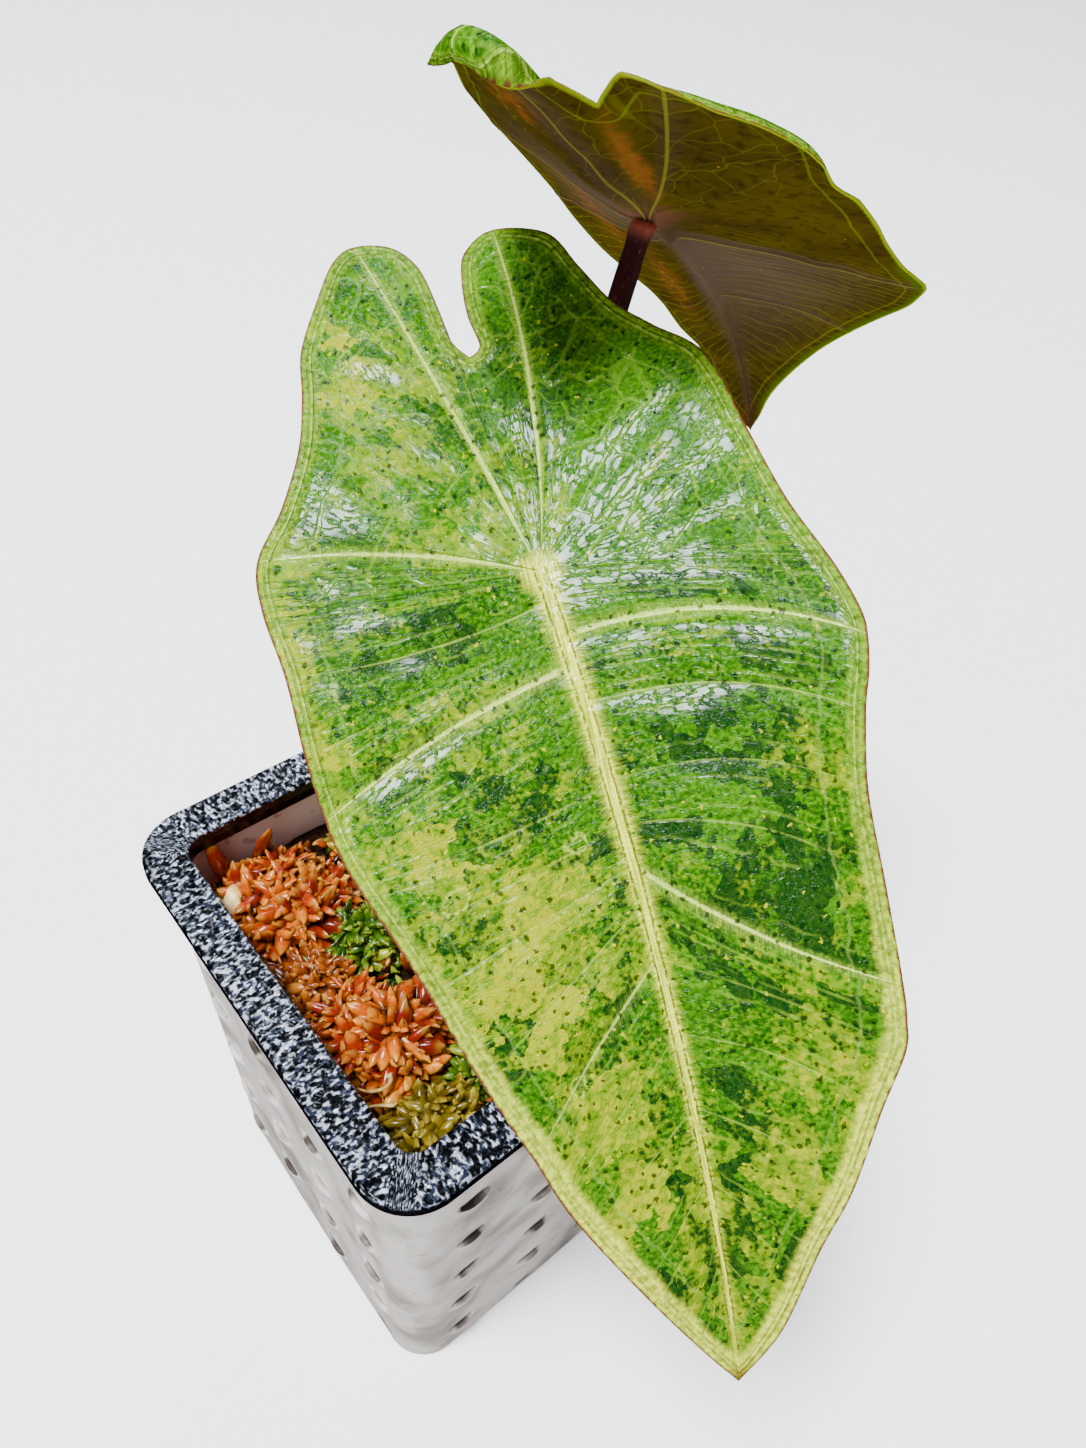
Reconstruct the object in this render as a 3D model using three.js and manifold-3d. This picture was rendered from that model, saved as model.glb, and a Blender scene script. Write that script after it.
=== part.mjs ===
// Potted variegated alocasia pseudosanderiana.
// Millimetres, +Z up. The origin is the centre of the pot's base, and the pot's sides lie
// along X and Y. The front leaf hangs towards -X -Y, the back leaf towards +X +Y.
import * as THREE from 'three';
import { mergeVertices } from 'three/addons/utils/BufferGeometryUtils.js';
import Module from 'manifold-3d';

const wasm = await Module();
wasm.setup();

// Driving dimensions
const POT_HEIGHT = 110;
const COLLAR_SIDE = 90;
const COLLAR_FACE = 8;
const COLLAR_CORNER = 10.5;
const SKIRT_DEPTH = 3.5;
const LIP_DEPTH = 4.5;
const WALL = 1.3;
const BASE_THICKNESS = 2;
const BODY_TOP_SIDE = 84;
const BODY_BASE_SIDE = 78;
const BODY_CORNER = 9;
const SUBSTRATE_DROP = 17;
const GAP = 0.3;
const BLADE_THICKNESS = 0.7;
const STEM_CENTRE = new THREE.Vector2(-3, 1);
const STEM_RADIUS = 7.8;

const rad = THREE.MathUtils.degToRad;

// Random numbers with a fixed seed, so that every build is the same.
function seeded(seed) {
  let state = seed;
  return (low = 0, high = 1) => {
    state = (Math.imul(state, 1664525) + 1013904223) >>> 0;
    return low + (high - low) * (state / 4294967296);
  };
}

function material(color, roughness, metalness = 0) {
  return new THREE.MeshStandardMaterial({ color, roughness, metalness });
}

// Joining and cutting work on closed solids. A geometry becomes a solid once its
// doubled vertices are merged.
function solid(geometry) {
  const bare = geometry.clone();
  bare.deleteAttribute('normal');
  bare.deleteAttribute('uv');
  const merged = mergeVertices(bare, 1e-4);
  return new wasm.Manifold(new wasm.Mesh({
    numProp: 3,
    vertProperties: new Float32Array(merged.attributes.position.array),
    triVerts: new Uint32Array(merged.index.array),
  }));
}

function shape(body) {
  const mesh = body.getMesh();
  const geometry = new THREE.BufferGeometry();
  geometry.setAttribute('position', new THREE.BufferAttribute(mesh.vertProperties, 3));
  geometry.setIndex(new THREE.BufferAttribute(mesh.triVerts, 1));
  return geometry;
}

// The biggest connected skin of a fused solid: scraps and sealed pockets are left out.
function biggest(body) {
  return body.decompose().reduce((a, b) => (b.volume() > a.volume() ? b : a));
}

function facets(points, triangles) {
  const used = triangles.filter(([a, b, c]) => {
    const same = (i, j) => points[i].distanceToSquared(points[j]) < 1e-8;
    return !same(a, b) && !same(b, c) && !same(a, c);
  });
  const geometry = new THREE.BufferGeometry();
  geometry.setAttribute('position', new THREE.Float32BufferAttribute(
    points.flatMap((p) => p.toArray()), 3));
  geometry.setIndex(used.flat());
  return geometry;
}

const group = new THREE.Group();

function add(name, geometry, look) {
  const mesh = new THREE.Mesh(geometry, look);
  mesh.name = name;
  group.add(mesh);
  return mesh;
}

// Rings for the pot: a rounded square, anticlockwise from above.
function ring(half, radius, z, arc = 3) {
  const points = [];
  for (let corner = 0; corner < 4; corner += 1) {
    const start = corner * 90;
    const centre = new THREE.Vector2(half - radius, half - radius)
      .rotateAround(new THREE.Vector2(), rad(start));
    for (let i = 0; i <= arc; i += 1) {
      const angle = rad(start + (90 * i) / arc);
      points.push(new THREE.Vector3(
        centre.x + radius * Math.cos(angle), centre.y + radius * Math.sin(angle), z));
    }
  }
  return points;
}

// Skin over rings of equal count. A closed loft returns to its first ring, and an open
// one is capped by flat fans.
function loft(rings, closed = false) {
  const count = rings[0].length;
  const points = rings.flat();
  const triangles = [];
  const last = closed ? rings.length : rings.length - 1;
  for (let r = 0; r < last; r += 1) {
    const low = r * count;
    const high = ((r + 1) % rings.length) * count;
    for (let i = 0; i < count; i += 1) {
      const j = (i + 1) % count;
      triangles.push([low + i, low + j, high + j], [low + i, high + j, high + i]);
    }
  }
  if (!closed) {
    for (const [r, flip] of [[0, true], [rings.length - 1, false]]) {
      const middle = new THREE.Vector3();
      rings[r].forEach((p) => middle.addScaledVector(p, 1 / count));
      points.push(middle);
      const m = points.length - 1;
      for (let i = 0; i < count; i += 1) {
        const a = r * count + i;
        const b = r * count + ((i + 1) % count);
        triangles.push(flip ? [b, a, m] : [a, b, m]);
      }
    }
  }
  return facets(points, triangles);
}

// Pot body: one moulded shell that narrows downwards, with rows of air slits, each over
// an outward scoop, and drain slots in the base.
const BODY_TOP = POT_HEIGHT - 1.8 - GAP;
const SLIT_COLUMNS = [-27, -9, 9, 27];
const SLIT_DROPS = [[22, 41, 60, 79, 98], [31, 50, 69, 88]];
const SLIT_WIDTH = 7;
const SLIT_HEIGHT = 2.2;
const SCOOP_HEIGHT = 8;
const SCOOP_REACH = 1.5;
const SCOOP_SIDES = 4;

function bodyHalf(z) {
  return THREE.MathUtils.lerp(BODY_BASE_SIDE, BODY_TOP_SIDE, z / BODY_TOP) / 2;
}

function box(x, y, z, at, turn = 0) {
  const geometry = new THREE.BoxGeometry(x, y, z);
  geometry.translate(at.x, at.y, at.z);
  geometry.rotateZ(turn);
  return solid(geometry);
}

// A scoop stands out of the wall at +X: a half cup, deepest along its open top edge.
function scoop(across, z) {
  const outlines = [[bodyHalf(z) - WALL / 2, 1], [bodyHalf(z) + SCOOP_REACH, 0.55]];
  const rings = outlines.map(([x, size]) => {
    const outline = [];
    for (let i = 0; i <= SCOOP_SIDES; i += 1) {
      const angle = Math.PI * (1 + i / SCOOP_SIDES);
      outline.push(new THREE.Vector3(
        x,
        across + (size * SLIT_WIDTH * Math.cos(angle)) / 2,
        z + size * SCOOP_HEIGHT * Math.sin(angle)));
    }
    return outline;
  });
  return loft(rings);
}

function potBody() {
  const outer = [0, 1.2, BODY_TOP].map((z, i) => ring(
    bodyHalf(z) - (i === 0 ? 1.2 : 0), BODY_CORNER - (i === 0 ? 1.2 : 0), z));
  const inner = [BODY_TOP, BASE_THICKNESS].map((z) => ring(
    bodyHalf(z) - WALL, BODY_CORNER - WALL, z));
  let body = solid(loft([...outer, ...inner]));
  for (let side = 0; side < 4; side += 1) {
    const turn = rad(90 * side);
    SLIT_COLUMNS.forEach((across, column) => {
      for (const drop of SLIT_DROPS[column % 2]) {
        const z = POT_HEIGHT - drop;
        const cup = scoop(across, z);
        cup.rotateZ(turn);
        body = body.add(solid(cup));
      }
    });
    SLIT_COLUMNS.forEach((across, column) => {
      for (const drop of SLIT_DROPS[column % 2]) {
        const z = POT_HEIGHT - drop;
        const at = new THREE.Vector3(bodyHalf(z), across, z + SLIT_HEIGHT / 2 - 0.05);
        body = body.subtract(box(4 * WALL, SLIT_WIDTH, SLIT_HEIGHT, at, turn));
      }
    });
  }
  for (const x of [-24, -12, 0, 12, 24]) {
    for (const y of [-20, 20]) {
      body = body.subtract(box(4, 22, 4 * BASE_THICKNESS, new THREE.Vector3(x, y, 0)));
    }
  }
  return biggest(body);
}

add('pot_body', shape(potBody()), material(0xd9d4cf, 0.45));

// Collar: a dark moulded frame that caps the wall's top edge, with a flat textured face,
// a short skirt outside and a lip inside.
function collar() {
  const half = COLLAR_SIDE / 2;
  const inside = half - COLLAR_FACE;
  const seat = bodyHalf(BODY_TOP) + GAP;
  const corner = COLLAR_CORNER;
  const top = POT_HEIGHT;
  const under = BODY_TOP + GAP;
  const section = [
    [seat, BODY_CORNER + GAP, top - SKIRT_DEPTH],
    [half - 0.3, corner - 0.3, top - SKIRT_DEPTH],
    [half, corner, top - SKIRT_DEPTH + 0.5],
    [half, corner, top - 0.7],
    [half - 0.7, corner - 0.7, top],
    [inside + 0.6, 4.1, top],
    [inside, 3.5, top - 0.6],
    [inside, 3.5, top - LIP_DEPTH],
    [inside + 1.3, 4.8, top - LIP_DEPTH],
    [inside + 1.3, 4.8, under],
    [seat, BODY_CORNER + GAP, under],
  ];
  return loft(section.map(([h, r, z]) => ring(h, r, z)), true);
}

add('pot_collar', collar(), material(0x10141c, 0.35));

// Substrate: the packed moss that fills the pot, level where the living heads sit and
// sunken between them, with a plain hole for the plant's stem.
const SUBSTRATE_TOP = POT_HEIGHT - SUBSTRATE_DROP;
const HOLE_DEPTH = 26;

function substrate() {
  const random = seeded(11);
  const fit = (z) => bodyHalf(z) - WALL - GAP;
  const low = BASE_THICKNESS + GAP;
  const rings = [ring(fit(low), BODY_CORNER - WALL, low), ring(fit(SUBSTRATE_TOP - 2),
    BODY_CORNER - WALL, SUBSTRATE_TOP - 2)];
  for (const share of [0.95, 0.8, 0.62, 0.42]) {
    const level = ring(fit(SUBSTRATE_TOP) * share, (BODY_CORNER - WALL) * share, SUBSTRATE_TOP);
    level.forEach((p) => {
      p.z -= random(0, 1.5);
    });
    rings.push(level);
  }
  rings.push(ring(fit(SUBSTRATE_TOP) * 0.25, 2, SUBSTRATE_TOP));
  const hole = new THREE.CylinderGeometry(STEM_RADIUS + GAP, STEM_RADIUS + GAP, 2 * HOLE_DEPTH, 20);
  hole.rotateX(Math.PI / 2);
  hole.translate(STEM_CENTRE.x, STEM_CENTRE.y, SUBSTRATE_TOP);
  return solid(loft(rings)).subtract(solid(hole));
}

add('substrate', shape(substrate()), material(0x2a2013, 0.9));

// Leaves. A blade is laid out flat first: "along" runs from the petiole's joint to the
// tip, "out" from the midrib to the margin. Each row of a half is one lateral:
// [start on the midrib, end along, end out, bow, rib strength, lift of the margin].
// Rows run from the tip to the bottom of the notch between the two back lobes. The rows
// that start ahead of the joint have the same starts in both halves.
const FRONT_LEAF = {
  joint: new THREE.Vector3(5.7, -8.1, 73.5 + POT_HEIGHT),
  heading: -111.8,
  droop: 28.2,
  roll: -15.6,
  bendAhead: 0.005,
  bendBehind: 0.002,
  foldLeft: 8,
  foldRight: 8,
  length: 117.3,
  sway: -2.6,
  shared: 15,
  left: [
    [117.3, 117.3, 0, 0, 0, 0],
    [105, 113, 4.5, 0, 0, 0],
    [95.6, 107.8, 8.2, 0, 0.3, 0.4],
    [83.8, 97.5, 14.5, 0, 0.3, -0.3],
    [73.5, 88.6, 20.1, -1.3, 0.5, 0.6],
    [63.5, 78.7, 25.9, -2.1, 0.6, -0.5],
    [53.4, 71, 30.1, -0.8, 0.4, 0.6],
    [46, 67, 31, 1, 0, 1],
    [41, 62.8, 31.6, 1.7, 1, 0.2],
    [35.7, 50.3, 32.5, -3.5, 0.5, -1],
    [30, 38.5, 33.2, -3.4, 0.6, -0.6],
    [19.4, 29.1, 35.2, -3.2, 0.7, 0.8],
    [13.9, 24.5, 36.8, -3, 0, 1.4],
    [9.7, 20, 38, -3.6, 1, 0.8],
    [4.4, 16.5, 38.2, -2, 0, 0],
    [0, 10, 36.9, -1, 0.3, -0.8],
    [0, 0, 33.8, 0, 0.4, -1.2],
    [0, -10.5, 31.5, 0, 0.5, 0.3],
    [0, -23.2, 29.2, 0, 0.6, 0.8],
    [0, -31, 23.8, 0, 0.2, -0.4],
    [0, -37, 19.6, 0.5, 0.4, -0.8],
    [0, -43.8, 16.5, 1, 0.3, 0.2],
    [0, -51, 13.4, 1.6, 0.3, 0.8],
    [0, -55.7, 5.8, 2.3, 1, 0],
    [0, -53.6, 1, 3.6, 0, -0.4],
    [0, -48.5, -0.5, 3.4, 0, 0],
    [0, -42, -1, 2.4, 0, 0],
    [0, -36.2, -0.4, 0.9, 0, 0],
    [0, -34.6, -2.2, 0, 0, 0],
  ],
  right: [
    [117.3, 117.3, 0, 0, 0, 0],
    [105, 112.6, 2.6, 0, 0, 0],
    [95.6, 107.5, 5.3, 0, 0.3, -0.3],
    [83.8, 97.1, 10, 0, 0.3, 0.4],
    [73.5, 87.4, 14.7, 0, 0.4, -0.4],
    [63.5, 80.7, 17.2, 0, 0.3, 0.3],
    [53.4, 74.3, 19, -0.5, 0.8, 0.8],
    [46, 62.8, 23.1, 0, 0.4, -0.6],
    [41, 50.2, 26.7, 0, 0.6, 0.3],
    [35.7, 42.5, 29.3, 0.4, 0.5, 0.8],
    [30, 35.1, 32.2, 1.2, 0.5, 0.2],
    [19.4, 30.5, 33.6, -0.5, 0, -0.3],
    [13.9, 26.5, 34.3, -1.4, 1, -0.8],
    [9.7, 18.3, 35, 0, 0.3, 0.5],
    [4.4, 7.9, 35.4, 1.7, 0.7, 1],
    [0, -1.7, 36.8, -0.3, 0.3, 0.2],
    [0, -9.1, 36.4, -1.7, 1, -0.8],
    [0, -15.5, 32, 0, 0.3, 0.3],
    [0, -23.5, 28.2, 0, 0.3, 1.2],
    [0, -32.1, 26.5, 0, 0.3, 0.4],
    [0, -40.5, 25.5, 0, 0.3, -0.7],
    [0, -48.3, 22, 0, 0.3, 0],
    [0, -54.5, 18.6, 0, 0.2, 0.6],
    [0, -57.4, 15, -0.5, 1, 0.2],
    [0, -57, 9.6, 0, 0, -0.5],
    [0, -51.9, 6.3, 0, 0, 0],
    [0, -44.1, 4.9, 0, 0, 0],
    [0, -38, 4.2, 0, 0, 0],
    [0, -34.6, 2.2, 0, 0, 0],
  ],
  curl: [],
};

const BACK_LEAF = {
  joint: new THREE.Vector3(46.1, 19.9, 103.5 + POT_HEIGHT),
  heading: 28.2,
  droop: 28,
  roll: 23.2,
  bendAhead: 0.0047,
  bendBehind: -0.0048,
  foldLeft: 44.5,
  foldRight: -18,
  length: 110,
  sway: 3.4,
  shared: 12,
  right: [
    [110, 110, 0, 0, 0, 0],
    [98, 104.5, 3, 0, 0, 0],
    [86, 96.5, 6.3, 0, 0.3, 0.3],
    [74, 88, 10.2, 0, 0.4, -0.3],
    [63, 79, 15.3, 0, 0.6, 0],
    [52, 70, 20.8, -1, 0.5, 0.4],
    [44, 59, 27.3, -3.5, 0.8, 0],
    [36, 47, 34.4, -3, 0.5, -0.4],
    [27, 40.5, 38, -2, 0.4, -0.5],
    [18, 35.8, 39.9, -1, 0.3, 0],
    [11, 32, 40.6, 0, 1, 0.3],
    [5, 26, 39, 0, 0.2, 0],
    [0, 18.6, 37, 0, 0.4, -0.4],
    [0, 8.6, 34.7, 0, 0.4, 0],
    [0, -2.6, 33.1, 0, 0.3, 0.4],
    [0, -14.6, 31.2, 0, 0.4, 0],
    [0, -23.2, 29.1, 0, 0.3, -0.3],
    [0, -32, 27.9, 1.5, 0.7, 0],
    [0, -38.2, 23.2, 1.5, 0.3, 0],
    [0, -41.5, 17.7, 1.5, 0.3, 0],
    [0, -43.8, 12.1, 1.5, 1, 0],
    [0, -44.2, 7.6, 1, 0, 0],
    [0, -40.6, 4.6, 0.5, 0, 0],
    [0, -38, 3, 0, 0, 0],
  ],
  left: [
    [110, 110, 0, 0, 0, 0],
    [98, 104.5, 3, 0, 0, 0],
    [86, 96, 5.2, 0, 0.3, 0.3],
    [74, 86, 6.6, 0, 0.4, -0.3],
    [63, 78, 8.4, 0, 0.5, 0.4],
    [52, 70, 11.4, 0, 0.5, -0.4],
    [44, 63.5, 16, 0, 0.7, 0.3],
    [36, 58.5, 21.5, 0, 0.5, 0],
    [27, 53, 27.6, -0.5, 0.5, -0.4],
    [18, 47, 32.6, -1, 0.4, 0],
    [11, 39.5, 34.8, -1, 0.8, 0.4],
    [5, 30.5, 34.2, -1, 0.3, 0],
    [0, 20, 33.4, 0, 0.3, -0.3],
    [0, 8, 34.2, -1, 1, 0],
    [0, -4, 32.3, 0, 0.3, 0.4],
    [0, -17, 27.6, 0, 0.3, 0],
    [0, -28, 23.8, 0, 0.3, 0],
    [0, -38, 20.6, 0, 0.3, 0],
    [0, -47, 18, -1.5, 0.3, 0],
    [0, -54, 12.2, -3.5, 1, 0],
    [0, -54, 6, -3, 0, 0],
    [0, -47.5, 2.6, -1.5, 0, 0],
    [0, -42.5, -0.4, 0, 0, 0],
    [0, -38, -3, 0, 0, 0],
  ],
  // Margins that roll under, between two rows of a half.
  curl: [
    { half: 'left', from: 16.5, to: 21.5, width: 6, radius: 1.9 },
    { half: 'right', from: 15, to: 21, width: 3.5, radius: 3.2 },
  ],
};

// A row's place between two rows comes from smooth splines through the rows.
function layout(rows) {
  const ends = new THREE.SplineCurve(rows.map((r) => new THREE.Vector2(r[1], r[2])));
  const starts = new THREE.SplineCurve(rows.map((r) => new THREE.Vector2(r[0], r[3])));
  const lifts = new THREE.SplineCurve(rows.map((r) => new THREE.Vector2(r[5], 0)));
  const last = rows.length - 1;
  return (t) => {
    const u = THREE.MathUtils.clamp(t / last, 0, 1);
    const end = ends.getPoint(u);
    const start = starts.getPoint(u);
    return {
      start: Math.max(0, start.x),
      bow: start.y,
      along: end.x,
      out: end.y,
      lift: lifts.getPoint(u).x,
    };
  };
}

// Surface of a blade. The midrib droops along circular arcs, each half is folded about it,
// the lamina is puckered up between the ribs, and the margin waves up and down.
const PUCKER = 0.9;
const FULL_PUCKER_SPACING = 9;
const RIDGE_HEIGHT = 0.8;
const RIDGE_WIDTH = 0.8;
const MIDRIB_HEIGHT = 1.5;
const MIDRIB_WIDTH = 2;
const FOLD_ROUND = 4;

class Blade {
  constructor(leaf) {
    this.leaf = leaf;
    const level = new THREE.Vector3(Math.cos(rad(leaf.heading)), Math.sin(rad(leaf.heading)), 0);
    const down = new THREE.Vector3(0, 0, -1);
    this.axis = level.clone().multiplyScalar(Math.cos(rad(leaf.droop)))
      .addScaledVector(down, Math.sin(rad(leaf.droop)));
    const side = new THREE.Vector3(level.y, -level.x, 0);
    const normal = new THREE.Vector3().crossVectors(side, this.axis);
    this.side = side.clone().multiplyScalar(Math.cos(rad(leaf.roll)))
      .addScaledVector(normal, Math.sin(rad(leaf.roll)));
    this.normal = new THREE.Vector3().crossVectors(this.side, this.axis);
    this.layouts = { left: layout(leaf.left), right: layout(leaf.right) };
  }

  // Bare surface at a flat place: along the midrib and across it, positive to the right.
  bare(along, across) {
    const { leaf } = this;
    const bend = along > 0 ? leaf.bendAhead : leaf.bendBehind;
    const angle = bend * along;
    const x = Math.sin(angle) / bend;
    const z = (Math.cos(angle) - 1) / bend;
    const local = this.axis.clone().multiplyScalar(Math.sin(angle))
      .addScaledVector(this.normal, Math.cos(angle));
    const fold = rad(across > 0 ? leaf.foldRight : leaf.foldLeft);
    const rise = Math.sqrt(across * across + FOLD_ROUND * FOLD_ROUND) - FOLD_ROUND;
    return leaf.joint.clone()
      .addScaledVector(this.axis, x)
      .addScaledVector(this.normal, z)
      .addScaledVector(this.side, across * Math.cos(fold))
      .addScaledVector(local, rise * Math.sin(fold));
  }

  facing(along, across) {
    const step = 0.05;
    const ahead = this.bare(along + step, across).sub(this.bare(along - step, across));
    const aside = this.bare(along, across + step).sub(this.bare(along, across - step));
    return new THREE.Vector3().crossVectors(aside, ahead).normalize();
  }

  // Flat place on the lateral t of a half, at the share s of its length.
  flat(half, t, s) {
    const sign = half === 'right' ? 1 : -1;
    const { leaf } = this;
    const row = this.layouts[half](t);
    const reach = row.start / leaf.length;
    const start = new THREE.Vector2(row.start, leaf.sway * 4 * reach * (1 - reach) * sign);
    const end = new THREE.Vector2(row.along, row.out);
    const chord = end.clone().sub(start);
    const length = Math.max(chord.length(), 1e-6);
    const bowed = 4 * s * (1 - s) * row.bow;
    const along = start.x + s * chord.x + (bowed * chord.y) / length;
    const out = start.y + s * chord.y - (bowed * chord.x) / length;
    return { along, across: out * sign, start: row.start, length, lift: row.lift };
  }

  // Strength of the rib at t, one on a rib and falling to nothing beside it.
  rib(half, t, spread) {
    const rows = this.leaf[half];
    const k = Math.round(t);
    return rows[k][4] * Math.max(0, 1 - Math.abs(t - k) / spread);
  }

  // Upper and lower skin at (t, s), with the ribs standing out of the lower one.
  pair(half, t, s, ridge) {
    const { leaf } = this;
    const place = this.flat(half, t, s);
    const last = leaf[half].length - 1;
    const curl = this.roll(half, t);
    const flatShare = curl ? Math.min(s, 1 - curl.width / place.length) : s;
    const anchor = curl ? this.flat(half, t, flatShare) : place;
    const top = this.bare(anchor.along, anchor.across);
    const up = this.facing(anchor.along, anchor.across);
    const edgeFade = Math.min(1, t, last - t);
    const beside = this.flat(half, t + 0.1, s);
    const spacing = 10 * Math.hypot(beside.along - place.along, beside.across - place.across);
    const hill = 4 * s * (1 - s) * edgeFade * Math.min(1, spacing / FULL_PUCKER_SPACING);
    top.addScaledVector(up, PUCKER * hill * (1 - this.rib(half, t, 0.5) * 1.3));
    top.addScaledVector(up, place.lift * s * s * s * edgeFade);
    if (curl && s > flatShare) {
      const before = this.flat(half, t, flatShare - 0.02);
      const out = this.bare(anchor.along, anchor.across)
        .sub(this.bare(before.along, before.across)).normalize();
      const travel = (s - flatShare) * place.length;
      const turn = travel / curl.radius;
      top.addScaledVector(out, curl.radius * Math.sin(turn));
      top.addScaledVector(up, -curl.radius * (1 - Math.cos(turn)));
      up.multiplyScalar(Math.cos(turn)).addScaledVector(out, Math.sin(turn));
    }
    const bottom = top.clone().addScaledVector(up, -(BLADE_THICKNESS + ridge));
    return { top, bottom };
  }

  // The roll of the margin at t, or nothing. It grows and fades over two rows.
  roll(half, t) {
    const found = this.leaf.curl.find((c) => c.half === half && t > c.from && t < c.to);
    if (!found) return null;
    const strength = Math.min(1, (t - found.from) / 2, (found.to - t) / 2);
    return { width: found.width, radius: found.radius / strength };
  }

  midribHeight(start) {
    return MIDRIB_HEIGHT * (1 - (0.75 * start) / this.leaf.length);
  }
}

// Lines along a half: one on each row, one between rows, and one on each side of a rib.
// Each has points at these shares of its length, or of the length its rolled margin leaves.
const SHARES = [0.2, 0.42, 0.64, 0.84, 1];
const SHARES_BEFORE_ROLL = [0.3, 0.65, 1];
const RIB_LEAST = 0.45;

function sharesAt(blade, half, t) {
  const roll = blade.roll(half, t);
  if (!roll) return SHARES;
  const flat = 1 - roll.width / blade.flat(half, t, 1).length;
  return [...SHARES_BEFORE_ROLL.map((s) => s * flat), (1 + flat) / 2, 1];
}

function bladeLines(leaf, half) {
  const rows = leaf[half];
  const lines = [];
  rows.forEach((row, k) => {
    const rib = row[4] >= RIB_LEAST;
    if (rib) lines.push({ k, offset: -1, ridge: 0 });
    lines.push({ k, offset: 0, ridge: rib ? row[4] : 0 });
    if (rib) lines.push({ k, offset: 1, ridge: 0 });
    const next = rows[k + 1];
    const wide = next && Math.hypot(next[1] - row[1], next[2] - row[2]) > 7;
    if (wide && k >= leaf.shared) lines.push({ k: k + 0.5, offset: 0, ridge: 0 });
  });
  return lines;
}

function bladeSolid(blade) {
  const { leaf } = blade;
  const points = [];
  const triangles = [];
  for (const half of ['left', 'right']) {
    const columns = bladeLines(leaf, half).map((line) => {
      const whole = blade.flat(half, line.k, 1);
      const here = blade.flat(half, line.k, 0.5);
      const beside = blade.flat(half, line.k + 0.1, 0.5);
      const pitch = 10 * Math.hypot(beside.along - here.along, beside.across - here.across);
      const midrib = blade.midribHeight(whole.start);
      const foot = Math.min(0.1, (MIDRIB_WIDTH * (1 - (0.6 * whole.start) / leaf.length))
        / (2 * whole.length));
      return [0, foot, ...sharesAt(blade, half, line.k)].map((s) => {
        const nudge = line.offset * Math.min(0.3, RIDGE_WIDTH / Math.max(pitch * 2 * s, 1e-6));
        const t = s === 0 ? line.k : line.k + nudge;
        const taper = 1 - 0.6 * s;
        const ridge = s === 0 ? midrib : line.ridge * RIDGE_HEIGHT * taper * (s === 1 ? 0 : 1);
        const skins = blade.pair(half, t, s, ridge);
        points.push(skins.top, skins.bottom);
        return points.length - 2;
      });
    });
    const face = (a, b, c, d) => {
      const right = half === 'right';
      const quad = right ? [[a, c, d], [a, d, b]] : [[a, d, c], [a, b, d]];
      triangles.push(...quad);
    };
    for (let i = 0; i + 1 < columns.length; i += 1) {
      const [one, two] = [columns[i], columns[i + 1]];
      for (let j = 0; j + 1 < one.length; j += 1) {
        face(one[j], one[j + 1], two[j], two[j + 1]);
        face(two[j] + 1, two[j + 1] + 1, one[j] + 1, one[j + 1] + 1);
      }
      const edge = one.length - 1;
      face(one[edge], one[edge] + 1, two[edge], two[edge] + 1);
    }
  }
  return facets(points, triangles);
}

const frontBlade = new Blade(FRONT_LEAF);
const backBlade = new Blade(BACK_LEAF);
add('leaf_front_blade', bladeSolid(frontBlade), material(0x4f8f2a, 0.35));
add('leaf_back_blade', bladeSolid(backBlade), material(0x6b6a2c, 0.5));

// Petioles: round stalks that taper upwards. Each starts in the top of the stem and ends
// just under the joint of its blade, cut flat to it.
const PETIOLE_BASE_RADIUS = 2.8;
const PETIOLE_TOP_RADIUS = 1.75;
const PETIOLE_SIDES = 10;
const PETIOLE_STEPS = 18;
const SOCKET_DEPTH = 9;
const STEM_TOP = SUBSTRATE_TOP + 8;

const FRONT_STALK = new THREE.CatmullRomCurve3([
  new THREE.Vector3(-3.6, -2.4, STEM_TOP - SOCKET_DEPTH),
  new THREE.Vector3(-4.2, -5, 128),
  new THREE.Vector3(-0.5, -6, 158),
  FRONT_LEAF.joint,
]);
const BACK_STALK = new THREE.CatmullRomCurve3([
  new THREE.Vector3(-2.2, 4.3, STEM_TOP - SOCKET_DEPTH),
  new THREE.Vector3(6, 8.5, 128),
  new THREE.Vector3(26.5, 14, 170),
  BACK_LEAF.joint,
]);

function stalk(curve, wider = 0) {
  const frames = curve.computeFrenetFrames(PETIOLE_STEPS, false);
  const rings = [];
  for (let i = 0; i <= PETIOLE_STEPS; i += 1) {
    const share = i / PETIOLE_STEPS;
    const centre = curve.getPointAt(share);
    const radius = THREE.MathUtils.lerp(PETIOLE_BASE_RADIUS, PETIOLE_TOP_RADIUS,
      Math.sqrt(share)) + wider;
    const points = [];
    for (let k = 0; k < PETIOLE_SIDES; k += 1) {
      const angle = (2 * Math.PI * k) / PETIOLE_SIDES;
      points.push(centre.clone()
        .addScaledVector(frames.normals[i], radius * Math.cos(angle))
        .addScaledVector(frames.binormals[i], radius * Math.sin(angle)));
    }
    rings.push(points);
  }
  return solid(loft(rings));
}

function petiole(curve, blade) {
  const size = 30;
  const block = new THREE.BoxGeometry(size, size, size);
  const clear = size / 2 - (BLADE_THICKNESS + MIDRIB_HEIGHT + GAP);
  const at = blade.leaf.joint.clone().addScaledVector(blade.normal, clear);
  block.applyMatrix4(new THREE.Matrix4()
    .makeBasis(blade.side, blade.axis, blade.normal).setPosition(at));
  return stalk(curve).subtract(solid(block));
}

const petioleLook = material(0x4a1f24, 0.4);
add('leaf_front_petiole', shape(petiole(FRONT_STALK, frontBlade)), petioleLook);
add('leaf_back_petiole', shape(petiole(BACK_STALK, backBlade)), petioleLook);

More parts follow.
